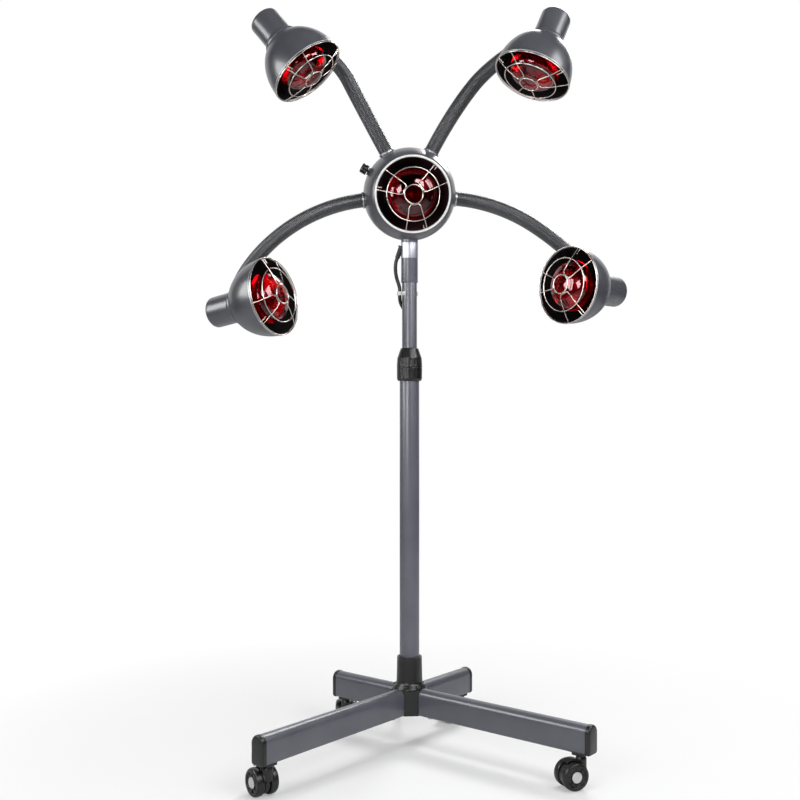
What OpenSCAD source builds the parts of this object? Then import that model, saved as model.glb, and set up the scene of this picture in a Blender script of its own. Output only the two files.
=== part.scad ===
// Salon infrared heat lamp. A round middle housing with one red heat bulb carries four
// goosenecks, each with a bell shade and its own bulb. The housing turns on a
// telescopic column, which a twist collar clamps, over a cross base on four castors.
// Millimetres. +Z is up, -Y is the front, the origin is the column's axis at the floor.

/* [Base] */
// Column axis to the outer end of a front leg
front_reach = 402.5; // [340:0.5:460]
// Column axis to the outer end of a rear leg
rear_reach = 191; // [170:0.5:300]
// Width of a leg's tube
leg_w = 28; // [26:0.5:34]
// Height of a leg's tube
leg_h = 50; // [42:1:60]
// Wall of a leg's tube
leg_wall = 1.5; // [1:0.1:2.5]
// Width of the octagonal hub across its flats
hub_w = 67; // [66:1:80]
// Height of the hub's sleeve above the legs
sleeve_h = 58; // [40:1:90]
// Wall of the hub's sleeve
sleeve_wall = 5; // [3:0.5:8]
// Length of the black cap outside a leg's end
cap_len = 9.5; // [8:0.5:20]

/* [Castors] */
// Floor to the underside of the legs
castor_h = 60; // [56:1:80]
// Diameter of a castor wheel
wheel_d = 49; // [40:1:50]
// Width of one of a castor's two wheels
wheel_w = 16; // [10:1:18]
// Gap between a castor's two wheels
wheel_gap = 11; // [9:0.5:14]
// Distance of the axle behind the castor's stem
trail = 19; // [12:1:24]
// Diameter of a castor's stem
stem_d = 10; // [8:1:11]
// Diameter of a castor's axle
axle_d = 6; // [5:0.5:8]
// Heading of the trailing wheels, from +X: front left, front right, rear left, rear right
castor_heading = [120, 195, 84, 150]; // [0:1:360]

/* [Column] */
// Outside diameter of the lower tube
lower_d = 38; // [36:0.5:42]
// Outside diameter of the upper tube
upper_d = 29; // [26:0.5:30]
// Wall of both tubes
tube_wall = 1.5; // [1:0.1:2]
// Length of the lower tube
lower_len = 660; // [500:5:900]
// Upper tube that shows between the collar and the neck sleeve, at its lowest
mast_out = 127; // [110:1:300]
// Largest diameter of the twist collar
collar_d = 49; // [48:0.5:56]
// Diameter of the collar's tapered top
collar_top_d = 34.5; // [33.5:0.5:38]
// Height of the collar's fixed body
collar_body_h = 26; // [22:1:40]
// Height of the collar's turning nut
collar_nut_h = 37; // [34:1:50]
// Outside diameter of the neck sleeve
neck_d = 32.5; // [32:0.5:36]
// Neck sleeve below the middle of the housing
neck_drop = 171; // [150:1:200]

/* [Middle housing] */
// Largest diameter of the housing
housing_d = 178; // [170:1:200]
// Middle of the housing to its front lip
housing_front = 50; // [44:1:56]
// Middle of the housing to its flat back
housing_back = 90; // [86:1:100]
// Sheet thickness of housing and shades
sheet = 1.2; // [0.8:0.1:2]
// Downward tilt of the housing
head_tilt = 10; // [0:1:20]
// Middle of the housing to the plane of its shade's rim
centre_rim = 57; // [54:1:60]

/* [Shades and bulbs] */
// Diameter at the rim of every shade
shade_d = 144; // [140:1:156]
// Half length of the ellipse that the bell follows
bell_half = 87; // [84:1:100]
// Depth of the bell from its rim to its neck
bell_depth = 77; // [70:1:80]
// Thickness of the rolled rim
bead_d = 4; // [3:0.5:5]
// Diameter of the socket cup
cup_d = 58; // [54:1:62]
// Shade's rim to the end of its socket cup
cup_end = 141; // [140:1:160]
// Largest diameter of the reflector bulb
bulb_d = 95; // [80:1:96]
// Length of the bulb with its cap
bulb_len = 135; // [130:1:136]
// Bulb's face in front of the rim plane
bulb_out = 16; // [2:1:18]
// Thickness of the bulb's glass
bulb_wall = 1.4; // [1:0.1:2]
// Diameter of the bulb's screw cap
cap_d = 26.5; // [26:0.1:27]
// Outside diameter of a lampholder
holder_d = 40; // [36:1:44]

/* [Wire guards] */
// Diameter of the guard's wire
wire_d = 2.6; // [2:0.1:3]
// Radius of the middle ring
mid_ring_r = 50; // [45:1:55]
// Radius of the small inner ring
inner_ring_r = 17.5; // [15:0.5:20]
// Height of the inner ring in front of the rim
guard_h = 21; // [19:1:40]
// Half the angle between the two legs of a U-shaped wire at the rim
pair_half = 17; // [14:1:20]
// Half the angle that the bottom of a U-shaped wire goes round the inner ring
hug_half = 27; // [18:1:45]

/* [Goosenecks] */
// Outside diameter of the hose
hose_d = 28; // [26:0.5:32]
// Bore of the hose
hose_bore = 13; // [10:0.5:14]
// Length of each of a gooseneck's two halves
half_len = 165; // [140:0.5:180]
// Radius of the ball at each bending place
ball_r = 10.2; // [9:0.1:10.5]
// Largest bend at one place, in degrees
max_bend = 20; // [10:1:22]
// Last bending place to the axis of the lamp it carries
stub_len = 36; // [34:1:50]
// Shade's rim to the middle of the stub
junction = 98; // [94:1:110]

/* [Arm poses] */
// Where each arm leaves the housing, from its right: upper left, upper right, lower left, lower right
arm_at = [120, 63, 188, 356]; // [0:1:360]
// Bend of the inner halves
bend_in = [36, 33, 29, 27]; // [0:1:60]
// Direction in which the inner halves bend
roll_in = [-187, 158, -90, 93]; // [-360:1:360]
// Bend of the outer halves
bend_out = [108, 93, 54, -53]; // [-130:1:130]
// Direction in which the outer halves bend
roll_out = [-38, 20, -32, 204]; // [-360:1:360]
// Turn of the lamp on the end of its arm
lamp_turn = [-35, 36, -29, 29]; // [-180:1:180]

/* [Knob and cord] */
// Diameter of the switch knob
knob_d = 19; // [16:0.5:24]
// Length of the switch knob
knob_len = 13; // [10:0.5:18]
// Where the switch sits on the housing, from its right
knob_at = 152; // [140:1:165]
// Diameter of the mains cord
cord_d = 7; // [6:0.5:8]
// Turns in the cord's coil
coil_turns = 3; // [2:0.5:6]
// Radius of the coil's outer turn
coil_r = 45; // [40:1:60]
// Distance between turns and between layers of the coil
coil_pitch = 7.7; // [7.5:0.1:9]

/* [Hidden] */
$fn = 48;
// Radial clearance of a shaft that turns or slides in its hole
run = 0.06;
// Clearance between pieces that are fixed together
seat = 0.1;
// Clearance between faces that pass each other
pass = 0.4;
// Overlap that joins the shapes of one solid, or clears a cut
over = 0.5;
ARMS = ["ul", "ur", "ll", "lr"];
CASTORS = ["fl", "fr", "rl", "rr"];

leg_angle = [225, 315, 45, 135];
leg_reach = [front_reach, front_reach, rear_reach, rear_reach];
castor_leg = [0, 1, 3, 2];
leg_top = castor_h + leg_h;
hub_floor = 4;
tube_z = castor_h + hub_floor;
tube_top = tube_z + lower_len;
stem_in = cap_len + 15;
flange_t = 4;
flange_len = 33;
socket_d = stem_d + 8;
body_z = tube_top - collar_body_h + 3;
nut_z = tube_top + 3 + pass;
nut_top = nut_z + collar_nut_h;
neck_z = nut_top + mast_out;
head_z = neck_z + neck_drop;
upper_top = neck_z + 55;
upper_bottom = tube_z + 4;
clip_h = 8;
clip_z = neck_z - 25;
lower_in_r = lower_d / 2 - tube_wall;
upper_r = upper_d / 2;
collet_r = upper_r + 2.6;
spigot_r = collet_r + seat + 2;
arm_back = -6;
arm_r = housing_d / 2 + 3.2;
hose_r = hose_d / 2;
cup_r = ball_r + 0.3;
hose_start = hose_r * tan(max_bend) + pass;
bead_r = bead_d / 2;
rim_r = shade_d / 2;
bell_neck_r = bell_r(-bell_depth);
cord_r = cord_d / 2;

// Radius of the bell's outside at z, 0 at the rim and negative towards the socket
function bell_r(z) = rim_r * sqrt(1 - pow(z / bell_half, 2));
// Radius of the housing's outside at z along its axis
function housing_r(z) = z > 0 ? housing_d / 2 * sqrt(1 - pow(z / 96, 2))
    : housing_d / 2 * pow(1 - pow(-z / 100, 2.6), 1 / 2.6);

// The rounded leg section, standing on y = 0
module leg_section(w, h, r = 4) {
    translate([0, h - w / 2]) circle(d = w);
    translate([-w / 2, r]) square([w, h - w / 2 - r]);
    translate([-w / 2 + r, 0]) square([w - 2 * r, r + over]);
    for (s = [-1, 1]) translate([s * (w / 2 - r), r]) circle(r);
}

// Lays a section along +X from x0 to x1, standing on the legs' underside
module along_leg(x0, x1) {
    translate([x0, 0, castor_h]) rotate([90, 0, 90]) linear_extrude(x1 - x0) children();
}

module leg(reach) {
    difference() {
        along_leg(hub_w / 2 + seat, reach - cap_len) leg_section(leg_w, leg_h);
        translate([0, 0, leg_wall]) along_leg(0, reach)
            leg_section(leg_w - 2 * leg_wall, leg_h - 2 * leg_wall, 3);
        translate([reach - stem_in, 0, castor_h - over])
            cylinder(d = socket_d + 2 * seat, h = leg_wall + 2 * over);
        translate([hub_w / 2 + 18, 0, castor_h - over]) cylinder(d = 6.6, h = leg_wall + 2 * over);
    }
}

module front_legs() {
    color("dimgray") for (i = [0, 1]) rotate([0, 0, leg_angle[i]]) leg(leg_reach[i]);
}

module rear_legs() {
    color("dimgray") for (i = [2, 3]) rotate([0, 0, leg_angle[i]]) leg(leg_reach[i]);
}

module base_hub() {
    octagon_r = hub_w / 2 / cos(22.5);
    color("black") difference() {
        union() {
            translate([0, 0, castor_h]) rotate([0, 0, 22.5]) cylinder(r = octagon_r, h = leg_h - 5, $fn = 8);
            translate([0, 0, leg_top - 5]) cylinder(r = hub_w / 2 - 2, h = 5 + over);
            translate([0, 0, leg_top]) rotate_extrude() polygon([[0, 0], [hub_w / 2 - 2, 0],
                [hub_w / 2 - 4, 5], [lower_d / 2 + sleeve_wall + 1, 12], [0, 12]]);
            translate([0, 0, leg_top]) cylinder(r1 = lower_d / 2 + sleeve_wall + 1,
                r2 = lower_d / 2 + sleeve_wall, h = sleeve_h);
            for (a = leg_angle) rotate([0, 0, a]) translate([0, 0, leg_wall + seat])
                along_leg(hub_w / 2 - 8, hub_w / 2 + 40)
                    leg_section(leg_w - 2 * leg_wall - 2 * seat, leg_h - 2 * leg_wall - 2 * seat, 3);
        }
        translate([0, 0, tube_z]) cylinder(d = lower_d + 2 * seat, h = leg_h + sleeve_h);
        for (a = leg_angle) rotate([0, 0, a]) translate([hub_w / 2 + 18, 0, castor_h])
            cylinder(d = 6.2, h = 24);
        translate([0, 0, castor_h - over]) cylinder(d = 10, h = hub_floor + 2 * over);
    }
}

module hub_bolts() {
    color("silver") for (a = leg_angle) rotate([0, 0, a]) translate([hub_w / 2 + 18, 0, castor_h - seat])
        union() {
            translate([0, 0, -4]) cylinder(d = 10, h = 4);
            translate([0, 0, -over]) cylinder(d = 6, h = 20);
        }
}

module leg_end_cap(reach) {
    in_w = leg_w - 2 * leg_wall - 2 * seat;
    in_h = leg_h - 2 * leg_wall - 2 * seat;
    difference() {
        union() {
            translate([0, 0, -0.8]) along_leg(reach - cap_len + seat, reach - 2)
                leg_section(leg_w + 1.6, leg_h + 1.6, 5);
            translate([0, 0, 1]) along_leg(reach - 3, reach) leg_section(leg_w - 2, leg_h - 2);
            translate([0, 0, leg_wall + seat]) along_leg(reach - stem_in - 14, reach - cap_len + 1)
                leg_section(in_w, in_h, 3);
            translate([reach - stem_in - flange_len / 2 + 3, -leg_w / 2 + 2, castor_h - flange_t])
                cube([flange_len - 8, leg_w - 4, flange_t - seat]);
            translate([reach - stem_in, 0, castor_h - flange_t]) cylinder(d = socket_d, h = 20);
        }
        translate([reach - stem_in, 0, castor_h - flange_t - over])
            cylinder(d = stem_d + 2 * run, h = leg_h - 10);
    }
}

module leg_end_caps() {
    color("black") for (i = [0:3]) rotate([0, 0, leg_angle[i]]) leg_end_cap(leg_reach[i]);
}

// Puts a castor, drawn with its stem on the Z axis and its wheels behind it along +X, under leg end i
module at_castor(i) {
    k = castor_leg[i];
    rotate([0, 0, leg_angle[k]]) translate([leg_reach[k] - stem_in, 0, 0])
        rotate([0, 0, castor_heading[i] - leg_angle[k]]) children();
}

module castor_hood(i) {
    top = castor_h - flange_t - pass;
    axle_z = wheel_d / 2;
    half = wheel_gap / 2 + wheel_w;
    color("black") at_castor(i) difference() {
        union() {
            translate([trail, 0, axle_z]) rotate([90, 0, 0]) translate([0, 0, -wheel_gap / 2 + pass])
                cylinder(r = axle_z - 3, h = wheel_gap - 2 * pass);
            translate([-6, -wheel_gap / 2 + pass, axle_z]) cube([trail, wheel_gap - 2 * pass, 18]);
            // The fender over the inner edges of the wheels, on a web between them
            translate([trail, 0, axle_z]) rotate([90, 0, 0]) translate([0, 0, -wheel_gap / 2 - 4])
                rotate([0, 0, 60]) rotate_extrude(angle = 105) translate([axle_z + 1.4, 0])
                    square([1.8, wheel_gap + 8]);
            translate([trail, 0, axle_z]) rotate([90, 0, 0]) translate([0, 0, -wheel_gap / 2 + pass])
                rotate([0, 0, 65]) rotate_extrude(angle = 95) translate([axle_z - 6, 0])
                    square([8.5, wheel_gap - 2 * pass]);
            translate([0, 0, axle_z + 10]) cylinder(d = 19, h = top - axle_z - 10);
            cylinder_stem(top);
            translate([trail, 0, axle_z]) rotate([90, 0, 0])
                cylinder(d = axle_d, h = 2 * half - 6, center = true);
        }
        // Room for the two wheels
        for (s = [-1, 1]) translate([trail, s * (wheel_gap / 2 + wheel_w / 2 + 0.2), axle_z])
            rotate([90, 0, 0]) difference() {
                cylinder(r = axle_z + 0.9, h = wheel_w + 0.4, center = true);
                cylinder(d = axle_d, h = wheel_w + 2, center = true);
            }
    }
}

module cylinder_stem(top) {
    translate([0, 0, top - over]) cylinder(d = stem_d, h = 34);
}

module castor_wheels(i) {
    axle_z = wheel_d / 2;
    at_castor(i) for (s = [-1, 1]) translate([trail, s * (wheel_gap / 2 + wheel_w / 2 + 0.2), axle_z])
        rotate([-90 * s, 0, 0]) {
            color("black") translate([0, 0, -wheel_w / 2]) rotate_extrude() polygon([
                [axle_d / 2 + run, 0.4], [axle_z - 2, 0.4], [axle_z, 2], [axle_z, wheel_w - 4],
                [axle_z - 1.5, wheel_w - 1.5], [axle_z - 6, wheel_w - 0.5], [10, wheel_w - 1.5],
                [10, wheel_w - 3], [axle_d / 2 + run, wheel_w - 3]]);
            color("lightgray") translate([0, 0, wheel_w / 2 - 3 + seat]) cylinder(r1 = 9.6, r2 = 8.6, h = 3);
        }
}

module lower_tube() {
    color("slategray") translate([0, 0, tube_z]) difference() {
        cylinder(d = lower_d, h = lower_len);
        translate([0, 0, -over]) cylinder(r = lower_in_r, h = lower_len + 2 * over);
    }
}

module collar_body() {
    r = collar_d / 2;
    tube_r = lower_d / 2 + seat;
    color("black") rotate_extrude() polygon([[tube_r, body_z], [r - 2, body_z], [r, body_z + 3],
        [r, nut_z - pass], [spigot_r, nut_z - pass], [spigot_r, nut_z + 20], [collet_r + seat, nut_z + 20],
        [collet_r + seat, tube_top + seat], [tube_r, tube_top + seat]]);
}

module collet() {
    bore = upper_r + run;
    z0 = tube_top + 2 * seat;
    color("dimgray") difference() {
        rotate_extrude() polygon([[bore, z0], [collet_r, z0], [collet_r, nut_z + 20 + seat],
            [collet_r + 1.5, nut_z + 21], [collet_r + 1.5, nut_z + 23], [bore + 1, nut_z + 26],
            [bore, nut_z + 26]]);
        translate([-1, 0, z0 + 4]) cube([2, collar_d, 40]);
    }
}

module collar_nut() {
    r = collar_d / 2;
    mouth = upper_r + 0.8;
    grips = 16;
    color("black") difference() {
        rotate_extrude() polygon([[spigot_r + run, nut_z], [r, nut_z], [r, nut_z + 18],
            [collar_top_d / 2, nut_top - 1], [collar_top_d / 2 - 1, nut_top], [mouth, nut_top],
            [mouth, nut_top - 4], [spigot_r + run, nut_z + 27]]);
        for (k = [1:grips]) rotate([0, 0, 360 / grips * k]) translate([r + 2, 0, nut_z + 3])
            cylinder(r = 2.6, h = 14);
    }
}

module upper_tube() {
    color("gray") difference() {
        translate([0, 0, upper_bottom]) cylinder(r = upper_r, h = upper_top - upper_bottom);
        translate([0, 0, upper_bottom - over])
            cylinder(r = upper_r - tube_wall, h = upper_top - upper_bottom + 2 * over);
    }
}

module guide_bush() {
    color("white") rotate_extrude() polygon([[upper_r - tube_wall, upper_bottom - 3],
        [lower_in_r - run, upper_bottom - 3], [lower_in_r - run, upper_bottom + 40],
        [upper_r + seat, upper_bottom + 40], [upper_r + seat, upper_bottom - seat],
        [upper_r - tube_wall, upper_bottom - seat]]);
}

// Side offset of the cord where the clip holds it
clip_x = -(upper_r + cord_r + 0.6);
clip_y = 3;

module cord_clip() {
    color("whitesmoke") translate([0, 0, clip_z]) difference() {
        union() {
            cylinder(r = upper_r + 1.8, h = clip_h);
            translate([clip_x, clip_y, 0]) cylinder(r = cord_r + 1.9, h = clip_h);
        }
        translate([0, 0, -over]) cylinder(r = upper_r + seat, h = clip_h + 2 * over);
        translate([clip_x, clip_y, -over]) cylinder(r = cord_r + 0.2, h = clip_h + 2 * over);
        // The mouth by which it snaps on from behind the cord
        translate([-9, -upper_r - 3, -over]) cube([2 * upper_r + 6, upper_r, clip_h + 2 * over]);
    }
}

// The cord's outlet in the neck: its root inside the sleeve, its slope and its length
gland_root = [-12, 0, neck_z + 77];
gland_slope = 22;
gland_len = 32;

module at_gland() {
    translate(gland_root) rotate([0, 180 + gland_slope, 0]) children();
}

module neck_sleeve() {
    top = head_z - housing_d / 2 + 6;
    color("gray") difference() {
        union() {
            translate([0, 0, neck_z]) cylinder(d = neck_d, h = top - neck_z);
            translate([0, 0, top]) rotate_extrude() polygon([[0, 0], [neck_d / 2, 0],
                [neck_d / 2 + 5, 1], [neck_d / 2 + 5, 5], [0, 5]]);
        }
        translate([0, 0, neck_z - over]) cylinder(r = upper_r + run, h = 200);
        at_gland() cylinder(r = 6.4 + seat, h = gland_len);
    }
}

module cord_gland() {
    color("black") at_gland() union() {
        cylinder(r1 = 6.4, r2 = cord_r + 1, h = gland_len);
        for (k = [1:4]) translate([0, 0, 9 + 5 * k]) cylinder(r = 6.1 - 0.45 * k, h = 2);
    }
}

// Puts the housing's own frame in place: its Z is the housing's aim and its Y is up
module at_head() {
    translate([0, 0, head_z]) rotate([90 + head_tilt, 0, 0]) children();
}

module head_housing() {
    steps = 12;
    z_out = [for (k = [0:steps]) -housing_back + (housing_back + housing_front) * k / steps];
    outer = [for (z = z_out) [housing_r(z), z]];
    inner = [for (k = [steps:-1:0]) let (z = min(housing_front - 0.01, max(z_out[k], -housing_back + sheet)))
        [housing_r(z) - sheet, z]];
    lip = [[rim_r + 3.5, housing_front + 0.4], [rim_r + 3.5, housing_front - 0.8]];
    color("dimgray") difference() {
        at_head() difference() {
            rotate_extrude() polygon(concat([[0, -housing_back]], outer, lip, inner,
                [[0, -housing_back + sheet]]));
            for (a = arm_at) rotate([0, 0, a]) translate([60, 0, arm_back]) rotate([0, 90, 0])
                cylinder(r = 12.3, h = 50);
            rotate([0, 0, knob_at]) translate([60, 0, 0]) rotate([0, 90, 0]) cylinder(r = 5, h = 50);
            for (k = [0:2]) rotate([0, 0, 90 + 120 * k]) translate([18, 0, -housing_back - over])
                cylinder(r = 2.3, h = 4);
        }
        translate([0, 0, neck_z]) cylinder(d = neck_d + 2 * seat, h = head_z - neck_z - 40);
    }
}

// The thin-walled bell from its rim at z = 0 down to z = -depth
module bell(depth) {
    steps = 7;
    zs = [for (k = [0:steps]) -depth * sin(90 * k / steps)];
    rotate_extrude() polygon(concat([for (z = zs) [bell_r(z), z]],
        [for (k = [steps:-1:0]) [bell_r(zs[k]) - sheet, min(zs[k] + (k == 0 ? 0 : 0.3), 0)]]));
    rotate_extrude() translate([rim_r, 0]) circle(bead_r, $fn = 8);
}

module centre_shade() {
    color("black") at_head() translate([0, 0, centre_rim]) union() {
        bell(60);
        rotate_extrude() polygon([[rim_r - 0.8, -5], [rim_r - 0.8, -0.8], [rim_r + 0.9, -0.8],
            [rim_r + 5, housing_front - centre_rim + 2], [rim_r + 5, housing_front - centre_rim + 0.8],
            [rim_r + 0.9, -5]]);
    }
}

// The reflector bulb, drawn back from its face
module reflector_bulb() {
    r = bulb_d / 2;
    neck = cap_d / 2 + 3;
    base = -bulb_len;
    outside = [[r * 0.45, -1.4], [r * 0.72, -6], [r * 0.9, -12.5], [r * 0.98, -20], [r, -29],
        [r * 0.965, -40], [r * 0.86, -54], [r * 0.69, -68], [r * 0.53, -80], [neck + 3, -90],
        [neck, -100], [neck, base + 27]];
    inside = [for (k = [len(outside) - 1:-1:0])
        [outside[k][0] - bulb_wall, outside[k][1] - (k < 3 ? bulb_wall : 0)]];
    translate([0, 0, bulb_out]) rotate_extrude() polygon(concat([[0, 0]], outside,
        [[cap_d / 2, base + 26.5], [cap_d / 2, base + 5], [9, base + 2], [5, base], [2, base],
         [2, base + 20], [8, base + 20]], inside, [[0, -bulb_wall]]));
}

// The porcelain lampholder, standing on z0 below the bulb's cap
module lampholder(z0) {
    base = bulb_out - bulb_len;
    difference() {
        union() {
            translate([0, 0, z0]) cylinder(d = holder_d, h = base + 24 - z0);
            translate([0, 0, z0]) cylinder(d = holder_d + 8, h = 4);
        }
        translate([0, 0, base - 0.6]) cylinder(r = cap_d / 2 + 0.3, h = 40);
    }
}

// A closed ring of wire in the plane z, with six corners
module wire_ring(radius, z, steps) {
    points = [for (i = [0:steps - 1], j = [0:5])
        let (a = 360 / steps * i, x = radius + wire_d / 2 * cos(60 * j))
            [x * cos(a), x * sin(a), z + wire_d / 2 * sin(60 * j)]];
    faces = [for (i = [0:steps - 1], j = [0:5]) let (a = 6 * i + j, b = 6 * i + (j + 1) % 6,
        c = 6 * ((i + 1) % steps) + (j + 1) % 6, d = 6 * ((i + 1) % steps) + j) each [[a, b, c], [a, c, d]]];
    polyhedron(points, faces);
}

// Domed wire guard in front of the rim: three rings, and three U-shaped wires whose legs end on the
// outer ring and whose bottoms go round the inner ring
module guard() {
    ring_r = rim_r - 0.5;
    z0 = bead_r + wire_d / 2;
    // The ball through the outer and the inner ring
    z_mid = (pow(guard_h, 2) + pow(inner_ring_r, 2) - pow(z0, 2) - pow(ring_r, 2)) / (2 * (guard_h - z0));
    ball = norm([ring_r, z0 - z_mid]);
    hug_r = inner_ring_r + 0.8 * wire_d;
    rim_point = ring_r * [cos(pair_half), sin(pair_half)];
    hug_point = hug_r * [cos(hug_half), sin(hug_half)];
    leg = [for (t = [0:0.2:1]) rim_point * (1 - t) + hug_point * t];
    arc = [for (a = [hug_half - 9:-9:0]) hug_r * [cos(a), sin(a)]];
    half = concat(leg, arc);
    plan = concat(half, [for (k = [len(half) - 1:-1:0]) if (half[k][1] > 0.1) [half[k][0], -half[k][1]]]);
    route = [for (p = plan) [p[0], p[1], z_mid + sqrt(ball * ball - p * p)]];
    wire_ring(ring_r, z0, 40);
    wire_ring(mid_ring_r, z_mid + sqrt(ball * ball - mid_ring_r * mid_ring_r), 32);
    wire_ring(inner_ring_r, guard_h, 18);
    for (k = [0:2]) rotate([0, 0, 37 + 120 * k]) tube_along(route, wire_d / 2, 6, [0, 0, 1]);
}

module centre_guard() {
    color("silver") at_head() translate([0, 0, centre_rim]) guard();
}

module centre_bulb() {
    color("red") at_head() translate([0, 0, centre_rim]) reflector_bulb();
}

module centre_lampholder() {
    z0 = -housing_back + sheet + seat - centre_rim;
    color("white") at_head() translate([0, 0, centre_rim]) difference() {
        lampholder(z0);
        for (k = [0:2]) rotate([0, 0, 90 + 120 * k]) translate([18, 0, z0 - over])
            cylinder(r = 2.1, h = 5);
    }
}

module head_screws() {
    color("silver") at_head() for (k = [0:2]) rotate([0, 0, 90 + 120 * k])
        translate([18, 0, -housing_back - seat]) union() {
            translate([0, 0, -2.4]) cylinder(r1 = 2.6, r2 = 3.8, h = 2.4);
            translate([0, 0, -over]) cylinder(r = 2, h = 5);
        }
}

// Turned round the housing's axis to arm i, with Z outwards and X ahead
module at_arm_root(i) {
    at_head() rotate([0, 0, arm_at[i]]) translate([0, 0, arm_back]) rotate([0, 90, 0])
        rotate([0, 0, 180]) translate([0, 0, arm_r]) children();
}

module arm_sockets() {
    color("dimgray") for (i = [0:3]) at_arm_root(i) {
        difference() {
            union() {
                translate([0, 0, -16]) cylinder(r = 12, h = 16);
                translate([0, 0, -2.8]) cylinder(r = hose_r + 1.5, h = 2.8);
            }
            sphere(cup_r);
            translate([0, 0, -17]) cylinder(d = hose_bore, h = 20);
        }
        translate([0, 0, -11]) difference() {
            cylinder(r = 16.5, h = 3.5, $fn = 6);
            translate([0, 0, -over]) cylinder(r = 12 + seat, h = 6);
        }
    }
}

module switch_body() {
    in_r = housing_d / 2 - 6;
    color("black") at_head() rotate([0, 0, knob_at]) rotate([0, 90, 0]) difference() {
        union() {
            translate([0, 0, in_r - 15]) cylinder(r = 11, h = 15);
            translate([0, 0, in_r - over]) cylinder(r = 4.8, h = 9);
            translate([0, 0, in_r + 6.4]) cylinder(r = 8, h = 2.4);
        }
        translate([0, 0, in_r - 6]) cylinder(r = 3 + run, h = 20);
    }
}

module switch_knob() {
    z0 = housing_d / 2 + 4.6;
    color("black") at_head() rotate([0, 0, knob_at]) rotate([0, 90, 0]) difference() {
        union() {
            translate([0, 0, z0 - 14]) cylinder(r = 3, h = 16);
            translate([0, 0, z0]) cylinder(d = knob_d, h = knob_len - 1.5);
            translate([0, 0, z0 + knob_len - 1.5]) cylinder(d1 = knob_d, d2 = knob_d - 3, h = 1.5);
        }
        for (k = [1:18]) rotate([0, 0, 20 * k]) translate([knob_d / 2 + 0.5, 0, z0 + 3])
            cylinder(r = 1.2, h = knob_len);
    }
}

module terminal_block() {
    color("white") at_head() translate([0, -housing_back + sheet + 52, -housing_back + sheet + seat])
        difference() {
            translate([-14, -8, 0]) cube([28, 14, 14]);
            for (x = [-9, 0, 9]) translate([x, -1, 5]) cylinder(d = 4, h = 10);
        }
}

// A hose half lies in the XZ plane of its own frame: it starts at the origin along Z and bends towards X
function on_arc(s, bend, len) = s <= 0 ? [0, s, 0]
    : let (rad = len * 180 / (PI * bend), a = bend * s / len) [rad * (1 - cos(a)), rad * sin(a), a];

// Ring of the hose at length s, with radius r and n corners
function hose_ring(s, r, bend, len, n) = let (c = on_arc(s, bend, len))
    [for (k = [0:n - 1]) let (t = 360 / n * (k + 0.5), x = r * cos(t))
        [c[0] + x * cos(c[2]), r * sin(t), c[1] - x * sin(c[2])]];

// One half of a gooseneck: a ball, a short neck, the hose as a plain tube, and a cup for the next ball.
// Its outline runs out along the outside and back through the bore, as [length, radius] pairs.
module hose_half(bend) {
    n = 12;
    bore_r = hose_bore / 2;
    // The cup is wider than the ball by what its flat facets cut off
    deep = cup_r / cos(15);
    ball = [for (a = [126, 90, 60]) [ball_r * cos(a), ball_r * sin(a)]];
    outside = [for (k = [0:8]) [hose_start + (half_len - hose_start) * k / 8, hose_r]];
    cup = [for (a = [90, 60, 36]) [half_len - deep * cos(a), deep * sin(a) / cos(180 / n)]];
    inside = [for (k = [5:-1:1]) [half_len * k / 6, bore_r]];
    outline = concat(ball, [[hose_start - 0.2, ball_r * 0.75]], outside, cup, inside,
        [[ball[0][0], bore_r]]);
    m = len(outline);
    points = [for (p = outline) each hose_ring(p[0], p[1], bend, half_len, n)];
    faces = [for (j = [0:m - 1], k = [0:n - 1]) let (a = j * n + k, b = j * n + (k + 1) % n,
        c = ((j + 1) % m) * n + (k + 1) % n, d = ((j + 1) % m) * n + k) each [[a, c, b], [a, d, c]]];
    polyhedron(points, faces);
}

// Carries what follows to the end of a bent half
module past_half(bend) {
    c = on_arc(half_len, bend, half_len);
    translate([c[0], 0, c[1]]) rotate([0, bend, 0]) children();
}

module at_inner(i) {
    at_arm_root(i) rotate([0, 0, roll_in[i]]) children();
}

module at_outer(i) {
    at_inner(i) past_half(bend_in[i]) rotate([0, 0, roll_out[i] - roll_in[i]]) children();
}

// The lamp's own frame: Z is its aim and z = 0 the rim plane. The arm comes in along -X.
module at_lamp(i) {
    at_outer(i) past_half(bend_out[i]) rotate([0, 0, lamp_turn[i] - roll_out[i]])
        translate([0, 0, stub_len]) rotate([0, 90, 0]) translate([0, 0, junction]) children();
}

module gooseneck_inner(i) {
    color("dimgray") at_inner(i) hose_half(bend_in[i]);
}

module gooseneck_outer(i) {
    color("dimgray") at_outer(i) hose_half(bend_out[i]);
}

module shade(i) {
    color("dimgray") at_lamp(i) bell(bell_depth);
}

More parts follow.
